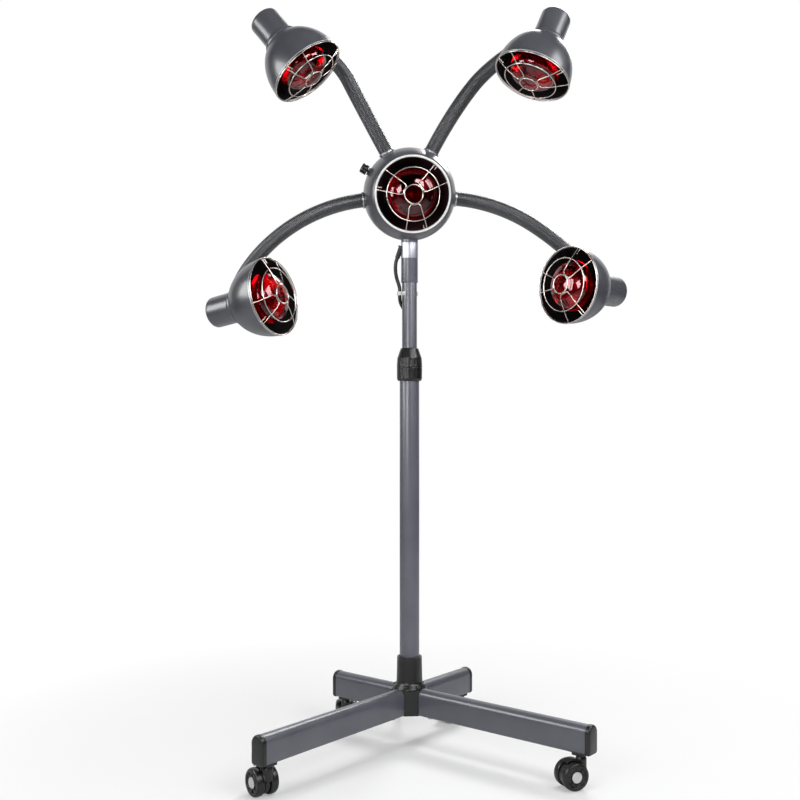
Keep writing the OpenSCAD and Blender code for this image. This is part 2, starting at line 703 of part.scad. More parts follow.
// Socket cup with its shoulder under the bell, the ball stub for the arm, and the lampholder inside
module socket_cup(i) {
    r = cup_d / 2;
    top = -bell_depth - seat;
    color("dimgray") at_lamp(i) difference() {
        union() {
            rotate_extrude() polygon([[r - sheet, top - 5], [bell_neck_r - 6, top], [bell_neck_r, top],
                [bell_neck_r + 0.5, top - 3], [r, top - 8], [r, -cup_end + 7], [r - 2, -cup_end + 2],
                [r - 7, -cup_end], [0, -cup_end], [0, -cup_end + 2], [r - 7, -cup_end + 2],
                [r - sheet - 2, -cup_end + 6], [r - sheet, -cup_end + 9]]);
            translate([0, 0, -junction]) rotate([0, 90, 0]) {
                translate([0, 0, r - 2]) cylinder(r = ball_r * 0.75, h = stub_len - r + 2);
                translate([0, 0, r - 2]) cylinder(r = hose_r - 1, h = stub_len - hose_start - r + 2);
                translate([0, 0, stub_len]) sphere(ball_r);
            }
        }
        translate([0, 0, -junction]) rotate([0, 90, 0]) translate([0, 0, r - 5])
            cylinder(d = hose_bore - 4, h = stub_len);
    }
    color("white") at_lamp(i) lampholder(-cup_end + 2 + seat);
}

module bulb(i) {
    color("red") at_lamp(i) reflector_bulb();
}

module lamp_guard(i) {
    color("silver") at_lamp(i) guard();
}

// Sweeps a tube of n corners along points, with its first and last faces square to the route. The
// corners are counted from up, or from X or Y, whichever the route doesn't follow.
module tube_along(route, r, n, up = [0, 0, 0]) {
    m = len(route);
    dirs = [for (k = [0:m - 1]) let (v = route[min(k + 1, m - 1)] - route[max(k - 1, 0)]) v / norm(v)];
    points = [for (k = [0:m - 1]) let (d = dirs[k],
        side = norm(up) > 0 ? up : abs(d[0]) > 0.8 ? [0, 1, 0] : [1, 0, 0],
        u = cross(d, side) / norm(cross(d, side)), w = cross(d, u))
        each [for (j = [0:n - 1]) route[k] + r * (cos(360 / n * j) * u + sin(360 / n * j) * w)]];
    sides = [for (k = [0:m - 2], j = [0:n - 1]) let (a = k * n + j, b = k * n + (j + 1) % n)
        each [[a, b + n, b], [a, a + n, b + n]]];
    polyhedron(points, concat([[for (j = [0:n - 1]) j]], sides, [[for (j = [n - 1:-1:0]) (m - 1) * n + j]]));
}

// The cord's route, chosen by hand: from the strain relief to the clip, and on to the coil
upper_route = [[-24, 0, 938.5], [-25.6, 0, 934], [-27, 0, 927], [-27.3, 1, 918], [-26.3, 2, 908],
    [-24, 3, 898], [-21, 3, 889], [-19, 3, 881], [-18.6, 3, 875]];
run_route = [[-18.6, 3, 874.6], [-18.6, 3, 862], [-16.5, 9, 853], [-11.5, 17, 845], [-5, 25, 833],
    [-0.5, 30, 815], [1, 31.5, 790], [1, 31.5, 740], [1, 31, 700], [1, 30, 640], [1, 30, 560],
    [1, 30, 480], [1, 30, 400], [1, 30, 330], [1, 32, 280], [2, 37, 230], [4, 49, 180], [6, 66, 140],
    [8, 90, 100], [8, 118, 65], [5, 150, 36], [0, 180, 17], [-5, 207, 7], [-9, 235, 3.5], [-11, 263, 3.5]];
coil_centre = [34, 270];
// Straight cord between the coil and the plug
coil_tail = 16;

// A point on the coil: it winds in on the floor, climbs, and winds out again on the turns below
function coil_point(t) = let (half = coil_turns / 2, fall = t < half ? t : coil_turns - t,
    climb = min(1, max(0, (t - half + 0.25) * 2)), r = coil_r - coil_pitch * fall, a = 180 - 360 * t)
    [coil_centre[0] + r * cos(a), coil_centre[1] + r * sin(a), cord_r + coil_pitch * climb];
coil_rings = 24;
coil_path = [for (k = [0:coil_turns * coil_rings]) coil_point(k / coil_rings)];
coil_last = coil_path[len(coil_path) - 1];
coil_out = [0, coil_turns * 2 % 2 == 0 ? 1 : -1, 0];
coil_route = concat([coil_path[0] - [0, cord_d, 0]], coil_path, [coil_last + coil_tail * coil_out]);
// Least gap between turns, over pairs of points that lie more than half a turn apart
coil_gap = min([for (i = [0:len(coil_path) - 1], j = [i + 12:1:len(coil_path) - 1])
    norm(coil_path[i] - coil_path[j])]) - cord_d;
echo(coil_gap = coil_gap);

function route_len(p) = len(p) < 2 ? 0 : norm(p[1] - p[0]) + route_len([for (k = [1:1:len(p) - 1]) p[k]]);
echo(cord_lengths = [route_len(upper_route), route_len(run_route), route_len(coil_route)]);

module cord_upper() {
    color("black") tube_along(upper_route, cord_r, 8);
}

module cord_run() {
    color("black") tube_along(run_route, cord_r, 8);
}

module cord_coil() {
    color("black") tube_along(coil_route, cord_r, 6);
}

module mains_plug() {
    p = coil_last + (coil_tail + seat) * coil_out;
    color("black") translate(p) rotate([coil_out[1] > 0 ? -90 : 90, 0, 0]) union() {
        cylinder(r1 = cord_r + 0.8, r2 = 6.5, h = 24);
        translate([0, 0, 24 + 14]) cube([26, 21, 28], center = true);
        for (s = [-1, 1]) translate([6.35 * s - 0.75, -1 - 3.2, 50]) cube([1.5, 6.4, 20]);
        translate([0, 6, 50]) cylinder(d = 4.8, h = 22);
    }
}

base_hub();
hub_bolts();
front_legs();
rear_legs();
leg_end_caps();
lower_tube();
collar_body();
collet();
collar_nut();
upper_tube();
guide_bush();
cord_clip();
neck_sleeve();
head_housing();
centre_shade();
centre_guard();
centre_bulb();
centre_lampholder();
arm_sockets();
switch_body();
switch_knob();
terminal_block();
head_screws();
cord_gland();
cord_upper();
cord_run();
cord_coil();
mains_plug();
for (i = [0:3]) castor_hood(i);
for (i = [0:3]) castor_wheels(i);
for (i = [0:3]) gooseneck_inner(i);
for (i = [0:3]) gooseneck_outer(i);
for (i = [0:3]) shade(i);
for (i = [0:3]) socket_cup(i);
for (i = [0:3]) bulb(i);
for (i = [0:3]) lamp_guard(i);
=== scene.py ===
"""The dressed salon heat lamp: enamelled steel, ribbed hoses, ruby bulbs and a lead on the floor.

Lengths here are in millimetres and become metres when a mesh is made. The frame is the lamp's
own: Z is up, -Y is the front, and the origin is where the column's axis meets the floor.
"""
import math

import bmesh
import bpy
import numpy as np
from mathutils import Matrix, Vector

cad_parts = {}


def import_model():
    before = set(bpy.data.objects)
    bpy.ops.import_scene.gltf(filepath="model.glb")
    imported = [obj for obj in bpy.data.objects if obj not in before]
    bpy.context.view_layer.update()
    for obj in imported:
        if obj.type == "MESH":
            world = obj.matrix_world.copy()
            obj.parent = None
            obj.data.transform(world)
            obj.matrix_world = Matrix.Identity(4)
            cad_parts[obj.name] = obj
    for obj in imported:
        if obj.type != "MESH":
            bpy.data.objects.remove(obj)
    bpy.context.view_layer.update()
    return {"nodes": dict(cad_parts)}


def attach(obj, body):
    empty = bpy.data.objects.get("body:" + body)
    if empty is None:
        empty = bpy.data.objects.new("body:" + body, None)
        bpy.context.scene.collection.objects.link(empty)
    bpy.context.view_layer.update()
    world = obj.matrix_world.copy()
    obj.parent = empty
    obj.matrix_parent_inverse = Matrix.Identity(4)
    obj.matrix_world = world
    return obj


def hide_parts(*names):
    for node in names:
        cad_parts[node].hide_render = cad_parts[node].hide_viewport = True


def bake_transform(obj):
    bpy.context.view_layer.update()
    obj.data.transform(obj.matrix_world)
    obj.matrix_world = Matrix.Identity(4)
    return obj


MM = 0.001
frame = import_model()

# Sizes that the frame's solids have too
LEG_BOTTOM, LEG_H, LEG_W = 60, 50, 28
LEG_ANGLES = {"front_left": 225, "front_right": 315, "rear_right": 45, "rear_left": 135}
LEG_REACH = {"front_left": 402.5, "front_right": 402.5, "rear_right": 191, "rear_left": 191}
CAP_LEN, STEM_IN = 9.5, 24.5
HUB_W, SLEEVE_H = 67, 58
LEG_TOP = LEG_BOTTOM + LEG_H
TUBE_D, MAST_D, TUBE_Z, TUBE_TOP = 38, 29, 64, 724
NUT_Z, NUT_H = 727.4, 37
NECK_D, NECK_Z = 32.5, 891.4
HEAD_Z, HEAD_TILT, HEAD_D, HEAD_FRONT, HEAD_BACK = 1062.4, 10, 178, 50, 90
CENTRE_RIM = 57
RIM_R, BELL_HALF, BELL_DEPTH, SHEET = 72, 87, 77, 1.2
CUP_R, CUP_END = 29, 141
BULB_R, BULB_LEN = 47.5, 135
BULB_FACE = 16
WIRE_D, MID_RING_R, INNER_RING_R, GUARD_H = 2.6, 50, 17.5, 21
SPOKE_D = 2.0
HOSE_R, HALF_LEN, HOSE_START = 14, 165, 5.5
STUB_LEN, JUNCTION, ARM_BACK, ARM_R = 36, 98, -6, 92.2
KNOB_AT, KNOB_D, KNOB_LEN = 152, 19, 13
WHEEL_D, WHEEL_GAP, TRAIL = 49, 11, 19
CORD_D = 7
ARMS = {
    "ul": dict(at=120, bends=(36, 108), rolls=(-187, -38), turn=-35),
    "ur": dict(at=63, bends=(33, 93), rolls=(158, 20), turn=36),
    "ll": dict(at=188, bends=(29, 54), rolls=(-90, -32), turn=-29),
    "lr": dict(at=356, bends=(27, -53), rolls=(93, 204), turn=29),
}
CASTORS = {
    "fl": ("front_left", 120),
    "fr": ("front_right", 195),
    "rl": ("rear_left", 84),
    "rr": ("rear_right", 150),
}


# Placing

def turn(axis, degrees):
    """Rotation about a row axis, as a 4 x 4 matrix: cosines on the diagonal, sines off it."""
    c, s = math.cos(math.radians(degrees)), math.sin(math.radians(degrees))
    i, j = {"x": (1, 2), "y": (2, 0), "z": (0, 1)}[axis]
    m = np.eye(4)
    m[i, i] = m[j, j] = c
    m[j, i], m[i, j] = s, -s
    return m


def shift(x, y, z):
    """Translation as a 4 x 4 matrix: the move fills the last column."""
    m = np.eye(4)
    m[:3, 3] = x, y, z
    return m


def place(points, matrix):
    """Rotated by the matrix's 3 x 3 block, then moved by its last column."""
    return np.asarray(points, float) @ matrix[:3, :3].T + matrix[:3, 3]


HEAD = shift(0, 0, HEAD_Z) @ turn("x", 90 + HEAD_TILT)


def on_arc(s, bend):
    """Centre and slope of a bent hose half at length s: an arc whose radius is length over bend."""
    a = np.radians(bend) * s / HALF_LEN
    r = HALF_LEN / math.radians(bend)
    return np.stack([r * (1 - np.cos(a)), 0 * a, r * np.sin(a)], -1), a


def past_half(bend):
    """The frame at the end of a bent half: its end point and its end slope."""
    (x, _, z), _ = on_arc(np.float64(HALF_LEN), bend)
    return shift(x, 0, z) @ turn("y", bend)


def arm_frames(arm):
    """Frames of an arm's inner half, outer half and lamp, each carried on by the one before."""
    root = HEAD @ turn("z", arm["at"]) @ shift(0, 0, ARM_BACK) @ turn("y", 90) @ turn("z", 180)
    inner = root @ shift(0, 0, ARM_R) @ turn("z", arm["rolls"][0])
    outer = inner @ past_half(arm["bends"][0]) @ turn("z", arm["rolls"][1] - arm["rolls"][0])
    tip = outer @ past_half(arm["bends"][1]) @ turn("z", arm["turn"] - arm["rolls"][1])
    lamp = tip @ shift(0, 0, STUB_LEN) @ turn("y", 90) @ shift(0, 0, JUNCTION)
    return inner, outer, tip, lamp


# Surfaces

def rounded(outline, radius, steps=4, closed=False):
    """An outline with each corner swapped for an arc: a quadratic curve from one side to the next
    that starts and ends at the radius, or at just under half of a shorter side."""
    p = np.asarray(outline, float)
    before, after = np.roll(p, 1, 0), np.roll(p, -1, 0)
    back, on = before - p, after - p
    len_back, len_on = (np.maximum(np.linalg.norm(side, axis=1), 1e-9) for side in (back, on))
    radius = np.broadcast_to(np.asarray(radius, float), len(p))
    cut = np.minimum(radius, 0.48 * np.minimum(len_back, len_on))[:, None]
    start = p + back / len_back[:, None] * cut
    end = p + on / len_on[:, None] * cut
    t = np.linspace(0, 1, steps)[None, :, None]
    arcs = start[:, None] * (1 - t) ** 2 + p[:, None] * 2 * t * (1 - t) + end[:, None] * t ** 2
    if closed:
        return arcs.reshape(-1, p.shape[1])
    return np.vstack([p[:1], arcs[1:-1].reshape(-1, p.shape[1]), p[-1:]])


def grid_faces(rows, cols, wrap_rows=False):
    """Quads between neighbouring rows of a grid of points, each row closed round."""
    r = np.arange(rows if wrap_rows else rows - 1)
    r, c = [a.ravel() for a in np.meshgrid(r, np.arange(cols), indexing="ij")]
    r2, c2 = (r + 1) % rows, (c + 1) % cols
    return np.stack([r * cols + c, r * cols + c2, r2 * cols + c2, r2 * cols + c], 1)


def revolve(profile, sides=96):
    """A profile of (radius, height) pairs turned round Z: x = r cos a, y = r sin a, z = h.
    The profile runs up the outside, so that the faces point outwards. Ends on the axis close."""
    profile = np.asarray(profile, float)
    a = np.radians(np.linspace(0, 360, sides, endpoint=False))
    r, h = profile[:, 0][:, None], profile[:, 1][:, None]
    points = np.stack([r * np.cos(a), r * np.sin(a), h + 0 * a], -1)
    return points.reshape(-1, 3), grid_faces(len(profile), sides)


def sweep(section, path, ups=None, closed=False):
    """A flat section of (side, up) pairs carried square to a path: point = path + side * right + up * up."""
    path = np.asarray(path, float)
    section = np.asarray(section, float)
    ahead = (np.roll(path, -1, 0) - np.roll(path, 1, 0)) if closed else np.gradient(path, axis=0)
    ahead /= np.linalg.norm(ahead, axis=1)[:, None]
    ups = np.broadcast_to(np.array([0, 0, 1.0]) if ups is None else ups, path.shape)
    right = np.cross(ahead, ups)
    right /= np.linalg.norm(right, axis=1)[:, None]
    up = np.cross(right, ahead)
    if section.ndim == 2:
        section = np.broadcast_to(section, (len(path),) + section.shape)
    points = path[:, None] + section[..., :1] * right[:, None] + section[..., 1:] * up[:, None]
    n = section.shape[1]
    faces = grid_faces(len(path), n, wrap_rows=closed).tolist()
    if not closed:
        faces += [list(range(n))[::-1], [(len(path) - 1) * n + k for k in range(n)]]
    return points.reshape(-1, 3), faces


def circle(radius, sides):
    """Points of a circle, anticlockwise: radius times cosine and sine."""
    a = np.linspace(0, 2 * np.pi, sides, endpoint=False)
    return radius * np.stack([np.cos(a), np.sin(a)], 1)


def smooth_path(points, per_span):
    """A Catmull-Rom curve through the points: on each span a cubic that keeps its neighbours' slopes."""
    p = np.asarray(points, float)
    p = np.vstack([2 * p[0] - p[1], p, 2 * p[-1] - p[-2]])
    t = np.linspace(0, 1, per_span, endpoint=False)[None, :, None]
    a, b, c, d = (p[k:len(p) - 3 + k][:, None] for k in range(4))
    bend, twist = 2 * a - 5 * b + 4 * c - d, 3 * b - a - 3 * c + d
    curve = 0.5 * (2 * b + (c - a) * t + bend * t ** 2 + twist * t ** 3)
    return np.vstack([curve.reshape(-1, 3), p[-2:-1]])


# Pieces

MERGE_M, SLIVER_M = 1e-6, 1e-7


def painted(surfaces, finish):
    """(points, faces) surfaces as parts in one finish."""
    return [(*surface, finish) for surface in surfaces]


def carried(parts, matrix):
    """(points, faces, material) parts carried by a matrix."""
    return [(place(p, matrix), f, m) for p, f, m in parts]


def piece(name, parts, body, replaces=(), bevel=0.0, sharp=40):
    """A mesh from (points in mm, faces, material) parts, shaded smooth up to the sharp angle, that
    rides on a body, or is left free where body is None."""
    points, faces, index, materials = [], [], [], []
    base = 0
    for p, f, material in parts:
        if material not in materials:
            materials.append(material)
        points.append(np.asarray(p, float))
        faces += [tuple(int(i) + base for i in face) for face in f]
        index += [materials.index(material)] * len(f)
        base += len(p)
    mesh = bpy.data.meshes.new(name)
    mesh.from_pydata((np.vstack(points) * MM).tolist(), [], faces)
    for material in materials:
        mesh.materials.append(material)
    mesh.polygons.foreach_set("material_index", index)
    obj = bpy.data.objects.new(name, mesh)
    bpy.context.scene.collection.objects.link(obj)
    shape = bmesh.new()
    shape.from_mesh(mesh)
    bmesh.ops.remove_doubles(shape, verts=shape.verts, dist=MERGE_M)
    bmesh.ops.dissolve_degenerate(shape, edges=shape.edges, dist=SLIVER_M)
    bmesh.ops.recalc_face_normals(shape, faces=shape.faces)
    shape.to_mesh(mesh)
    shape.free()
    mesh.polygons.foreach_set("use_smooth", [True] * len(mesh.polygons))
    mesh.set_sharp_from_angle(angle=math.radians(sharp))
    if bevel:
        edges = obj.modifiers.new("edges", "BEVEL")
        edges.width, edges.segments = bevel * MM, 2
        edges.limit_method, edges.angle_limit = "ANGLE", math.radians(35)
        edges.harden_normals = True
    if replaces:
        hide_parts(*replaces)
    if body:
        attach(obj, body)
    return obj


# Materials

def linear(hex_colour):
    """An sRGB hex colour as linear light: ((c + 0.055) / 1.055) ** 2.4, or c / 12.92 where it is dark."""
    c = np.array([int(hex_colour[k:k + 2], 16) / 255 for k in (1, 3, 5)])
    c = np.where(c > 0.04045, ((c + 0.055) / 1.055) ** 2.4, c / 12.92)
    return (*c, 1.0)


def add(tree, kind, links=None, stops=(), **settings):
    """A shader node with its settings. links gives each input a value, or (node, output) to join,
    and stops gives a colour ramp its (place, hex colour) pairs."""
    node = tree.nodes.new(kind)
    for key, value in settings.items():
        setattr(node, key, value)
    for k, (at, colour) in enumerate(stops):
        element = node.color_ramp.elements[k] if k < 2 else node.color_ramp.elements.new(at)
        element.position, element.color = at, linear(colour)
    for key, value in (links or {}).items():
        if isinstance(value, tuple) and len(value) == 2 and isinstance(value[0], bpy.types.Node):
            tree.links.new(value[0].outputs[value[1]], node.inputs[key])
        else:
            node.inputs[key].default_value = value
    return node


def material(name):
    """An empty node material with its tree."""
    m = bpy.data.materials.new(name)
    m.use_nodes = True
    m.node_tree.nodes.clear()
    return m, m.node_tree


def finish_of(tree, shader):
    """The shader joined to the material's output."""
    add(tree, "ShaderNodeOutputMaterial", {"Surface": (shader, 0)})


def noise(tree, size, detail):
    """Noise in the object's own coordinates, with features of about size millimetres."""
    place_of = add(tree, "ShaderNodeTexCoord")
    return add(tree, "ShaderNodeTexNoise", {
        "Vector": (place_of, "Object"), "Scale": 1 / (size * MM), "Detail": detail})


def between(tree, source, low, high):
    """The source's 0 to 1 stretched from low to high."""
    return add(tree, "ShaderNodeMapRange", {"Value": (source, 0), "To Min": low, "To Max": high})


def bumps(tree, source, strength, depth):
    """Bumps from the source's value, up to depth millimetres high."""
    return add(tree, "ShaderNodeBump", {"Height": (source, 0), "Strength": strength, "Distance": depth * MM})


def enamel(name, dark, light, roughness, peel_mm, peel, coat):
    """Baked enamel on pressed steel: sprayed and stoved, so it is smooth with a faint orange peel
    that wavers in the highlights, and a slow shift of tone from the spray's passes."""
    m, t = material(name)
    tone = noise(t, 60, 2.0)
    colour = add(t, "ShaderNodeValToRGB", {"Fac": (tone, 0)}, [(0.3, dark), (0.7, light)])
    bump = bumps(t, noise(t, peel_mm, 1.0), peel, 0.2)
    dull = between(t, tone, roughness - 0.03, roughness + 0.05)
    shader = add(t, "ShaderNodeBsdfPrincipled", {
        "Base Color": (colour, 0), "Roughness": (dull, 0), "Normal": (bump, 0), "IOR": 1.5,
        "Coat Weight": coat, "Coat Roughness": 0.08})
    finish_of(t, shader)
    return m


def moulded(name, hex_colour, roughness, grain_mm, grain, worn):
    """Injection-moulded plastic: a fine spark-eroded grain from the mould, and flow marks that make
    it a little glossier and paler in patches."""
    m, t = material(name)
    flow = noise(t, 18, 3.0)
    colour = add(t, "ShaderNodeValToRGB", {"Fac": (flow, 0)}, [(0.35, hex_colour), (0.85, worn)])
    bump = bumps(t, noise(t, grain_mm, 2.0), grain, 0.06)
    dull = between(t, flow, roughness - 0.06, roughness + 0.06)
    shader = add(t, "ShaderNodeBsdfPrincipled", {
        "Base Color": (colour, 0), "Roughness": (dull, 0), "Normal": (bump, 0), "IOR": 1.5})
    finish_of(t, shader)
    return m


def plated(name, hex_colour, roughness, streak_mm=0.6):
    """Nickel-plated steel wire and pressings: bright metal with fine draw marks and duller patches."""
    m, t = material(name)
    dull = between(t, noise(t, 9, 2.0), roughness - 0.05, roughness + 0.12)
    bump = bumps(t, noise(t, streak_mm, 2.0), 0.1, 0.05)
    shader = add(t, "ShaderNodeBsdfPrincipled", {
        "Base Color": linear(hex_colour), "Metallic": 1.0, "Roughness": (dull, 0), "Normal": (bump, 0)})
    finish_of(t, shader)
    return m


def ruby_glass(name):
    """Pressed reflector-bulb glass, ruby stained: a clear blown wall that takes out all but red, with
    the slight waviness of the mould in its reflections."""
    m, t = material(name)
    bump = bumps(t, noise(t, 14, 1.0), 0.08, 0.4)
    shader = add(t, "ShaderNodeBsdfPrincipled", {
        "Base Color": linear("#dc2c44"), "Roughness": 0.03, "IOR": 1.5, "Transmission Weight": 1.0,
        "Normal": (bump, 0)})
    finish_of(t, shader)
    return m


def mirror_lining(name):
    """Vacuum-deposited aluminium inside the bulb: a bright mirror behind the ruby glass."""
    m, t = material(name)
    bump = bumps(t, noise(t, 10, 2.0), 0.25, 0.6)
    shader = add(t, "ShaderNodeBsdfPrincipled", {
        "Base Color": linear("#f2e6e6"), "Metallic": 1.0, "Roughness": 0.16, "Normal": (bump, 0)})
    finish_of(t, shader)
    return m


GREY = enamel("baked grey enamel, spun shells", "#4b4c52", "#54555c", 0.3, 2.4, 0.05, 0.1)
TUBE = enamel("baked grey enamel, drawn tube", "#5d5d69", "#666672", 0.36, 1.8, 0.05, 0.15)
LEG = enamel("baked grey enamel, oval tube", "#565760", "#5e6069", 0.34, 1.8, 0.05, 0.2)
LINING = enamel("black heat-proof enamel, inside", "#1b191b", "#242123", 0.36, 1.5, 0.1, 0.0)
# Dark heat-proof lining of the middle shade: its maroon tint is painted red light from the ruby bulb.
RED_GLOW_LINING = enamel("dark heat-proof enamel with painted red bulb light, inside", "#2b171b", "#351d21", 0.4, 1.5, 0.1, 0.0)
BLACK = moulded("moulded black nylon", "#0d0d0e", 0.36, 0.5, 0.25, "#171718")
GLOSS = moulded("glossy black knob plastic", "#0b0b0c", 0.22, 0.8, 0.08, "#141415")
SHEATH = moulded("rubber cord sheath", "#0d0d0e", 0.45, 0.8, 0.2, "#171718")
WHITE = moulded("natural white nylon", "#dcdcd8", 0.45, 0.6, 0.1, "#e6e6e2")
TREAD = moulded("castor tread plastic", "#0d0d0e", 0.36, 0.7, 0.15, "#171718")
HUBCAP = moulded("light grey castor cap", "#c9c9cb", 0.4, 0.6, 0.15, "#d6d6d8")
HOSE = enamel("dark enamel on gooseneck strip", "#3d3e41", "#47484c", 0.34, 1.0, 0.08, 0.1)
WIRE = plated("nickel-plated guard wire", "#d3c9c2", 0.22)
RIM = plated("bare rolled steel rim", "#a9aaae", 0.36)
TRIM = moulded("white enamelled rolled rim", "#f2f2f2", 0.3, 1.5, 0.05, "#f6f6f6")
STEEL = plated("zinc-plated steel", "#b9bbbd", 0.3)
FOIL = plated("silver foil band", "#a9a9b4", 0.42, 0.3)
GLASS = ruby_glass("ruby-stained glass")
MIRROR = mirror_lining("mirror lining of the bulb")
PORCELAIN = moulded("glazed porcelain", "#e8e4da", 0.15, 3.0, 0.05, "#f0ece2")


# The base

def leg_section(width, height, corner=4.0):
    """The leg tube's section, anticlockwise: a half-round top, flat sides and small bottom corners."""
    r = width / 2
    runs = [((0, height - r), r, 0, 180, 17), ((-r + corner, corner), corner, 180, 270, 5),
            ((r - corner, corner), corner, 270, 360, 5)]
    points = []
    for (x, y), radius, start, end, n in runs:
        a = np.radians(np.linspace(start, end, n))
        points.append(np.stack([x + radius * np.cos(a), y + radius * np.sin(a)], 1))
    return np.vstack(points)


def prism(outline, z0, z1):
    """A flat outline raised from z0 to z1, closed by one face at each end."""
    outline = np.asarray(outline, float)
    n = len(outline)
    points = np.vstack([np.c_[outline, np.full(n, z0)], np.c_[outline, np.full(n, z1)]])
    faces = grid_faces(2, n).tolist() + [list(range(n))[::-1], list(range(n, 2 * n))]
    return points, faces


def box(x0, x1, y0, y1, z0, z1):
    """A block between two corners."""
    return prism([(x0, y0), (x1, y0), (x1, y1), (x0, y1)], z0, z1)


def moved(surface, matrix):
    """A (points, faces) surface carried by a matrix."""
    return place(surface[0], matrix), surface[1]


def leg(name):
    """The oval tube from the hub to its end cap."""
    path = [(HUB_W / 2 + 0.1, 0, LEG_BOTTOM), (LEG_REACH[name] - CAP_LEN, 0, LEG_BOTTOM)]
    return moved(sweep(leg_section(LEG_W, LEG_H), path), turn("z", LEG_ANGLES[name]))


CAP_WALL, PLATE_H = 0.8, 4


def end_cap(name):
    """The black cap: the leg's section grown by 0.8 mm, with its front edge rounded by an arc whose
    inset is r (1 - cos t) at depth r sin t, and the castor's socket plate under it."""
    reach, edge = LEG_REACH[name], 4.0
    t = np.radians(np.linspace(0, 82, 8))
    x = np.concatenate([[reach - CAP_LEN + 0.1, reach - CAP_LEN + 0.6], reach - edge + edge * np.sin(t)])
    inset = np.concatenate([[0.5, 0.0], edge * (1 - np.cos(t))])
    width, height = LEG_W + 2 * CAP_WALL, LEG_H + 2 * CAP_WALL
    sections = np.stack([leg_section(width - 2 * k, height - 2 * k, 5 - 0.4 * k) + [0, k] for k in inset])
    path = np.stack([x, 0 * x, np.full(len(x), LEG_BOTTOM - CAP_WALL)], 1)
    shell = sweep(sections, path)
    corners = [(reach - 38, -12), (reach - 13, -12), (reach - 13, 12), (reach - 38, 12)]
    plate = prism(rounded(corners, 5, closed=True), LEG_BOTTOM - PLATE_H, LEG_BOTTOM - 0.1)
    ring = revolve(rounded([(5.6, 0), (9, 0), (9, PLATE_H), (5.6, PLATE_H)], 0.8), 40)
    at = turn("z", LEG_ANGLES[name])
    to_ring = at @ shift(reach - STEM_IN, 0, LEG_BOTTOM - PLATE_H)
    return [moved(shell, at), moved(plate, at), moved(ring, to_ring)]


def hub():
    """The octagonal hub, its domed top, the sleeve with its lipped mouth, and the lugs at its foot."""
    r = HUB_W / 2 / math.cos(math.radians(22.5))
    corners = [(r * math.cos(a), r * math.sin(a)) for a in np.radians(22.5 + 45 * np.arange(8))]
    block = prism(rounded(corners, 2.5, closed=True), LEG_BOTTOM, LEG_TOP - 3)
    rim_r, sleeve_r, bore_r, mouth = HUB_W / 2, TUBE_D / 2 + 5, TUBE_D / 2 + 0.5, LEG_TOP + SLEEVE_H
    profile = [(0, LEG_TOP - 8), (rim_r - 1.5, LEG_TOP - 8), (rim_r - 1.5, LEG_TOP - 1),
               (rim_r - 5, LEG_TOP + 4), (sleeve_r + 1, LEG_TOP + 9), (sleeve_r, mouth - 1),
               (sleeve_r, mouth), (TUBE_D / 2 + 1.4, mouth), (bore_r, mouth - 2.5), (bore_r, mouth - 12)]
    top = revolve(rounded(profile, [0, 1, 2, 3, 3, 0.5, 1.5, 1, 0.5, 0]))
    lug = revolve(rounded([(5, -6), (4.6, 2.6), (2.5, 4.4), (0, 4.4)], 1.2), 24)
    parts = [block, top]
    for a in 45 * np.arange(8) + 22.5:
        parts.append(moved(lug, turn("z", a) @ shift(rim_r - 6.2, 0, LEG_TOP + 1.5)))
    return parts


for leg_pair in ("front", "rear"):
    names = [n for n in LEG_ANGLES if n.startswith(leg_pair)]
    piece(f"{leg_pair}_legs_painted", painted([leg(n) for n in names], LEG), "root", [f"{leg_pair}_legs"])
caps = [surface for name in LEG_ANGLES for surface in end_cap(name)]
piece("end_caps_moulded", painted(caps, BLACK), "root", ["leg_end_caps"], bevel=0.5)
piece("hub_moulded", painted(hub(), BLACK), "root", ["base_hub"], bevel=0.6)


# The castors

def castor_frame(key):
    """A castor's frame: on the floor under its stem, with X towards the axle."""
    name, heading = CASTORS[key]
    angle = LEG_ANGLES[name]
    return turn("z", angle) @ shift(LEG_REACH[name] - STEM_IN, 0, 0) @ turn("z", heading - angle)


def castor_hood():
    """The body between the wheels, the fender carried along an arc over their inner edges, and the neck."""
    axle = WHEEL_D / 2
    half = WHEEL_GAP / 2 + 4
    to_axle = shift(TRAIL, 0, axle) @ turn("x", 90)
    disc = [(0, -4.9), (20.5, -4.9), (21.5, -3.9), (21.5, 3.9), (20.5, 4.9), (0, 4.9)]
    body = revolve(rounded(disc, 0.8), 64)
    a = np.radians(np.linspace(60, 165, 32))
    path = np.stack([TRAIL + (axle + 2.3) * np.cos(a), 0 * a, axle + (axle + 2.3) * np.sin(a)], 1)
    outward = np.stack([np.cos(a), 0 * a, np.sin(a)], 1)
    strip = [(-half, -0.9), (half, -0.9), (half, 0.3), (half - 3, 0.9), (3 - half, 0.9), (-half, 0.3)]
    fender = sweep(rounded(strip, 0.4, closed=True), path, outward)
    web_path = np.stack([TRAIL + (axle - 1.5) * np.cos(a), 0 * a, axle + (axle - 1.5) * np.sin(a)], 1)
    web = sweep([(-5, -4.5), (5, -4.5), (5, 3.2), (-5, 3.2)], web_path, outward)
    neck = revolve(rounded([(0, 30), (9.5, 30), (9.5, 50), (8, 53.5), (6.5, 55.4), (0, 55.4)], 1.5), 40)
    link = box(-5, TRAIL, -4.9, 4.9, axle + 4, axle + 24)
    return [moved(body, to_axle), fender, web, neck, link]


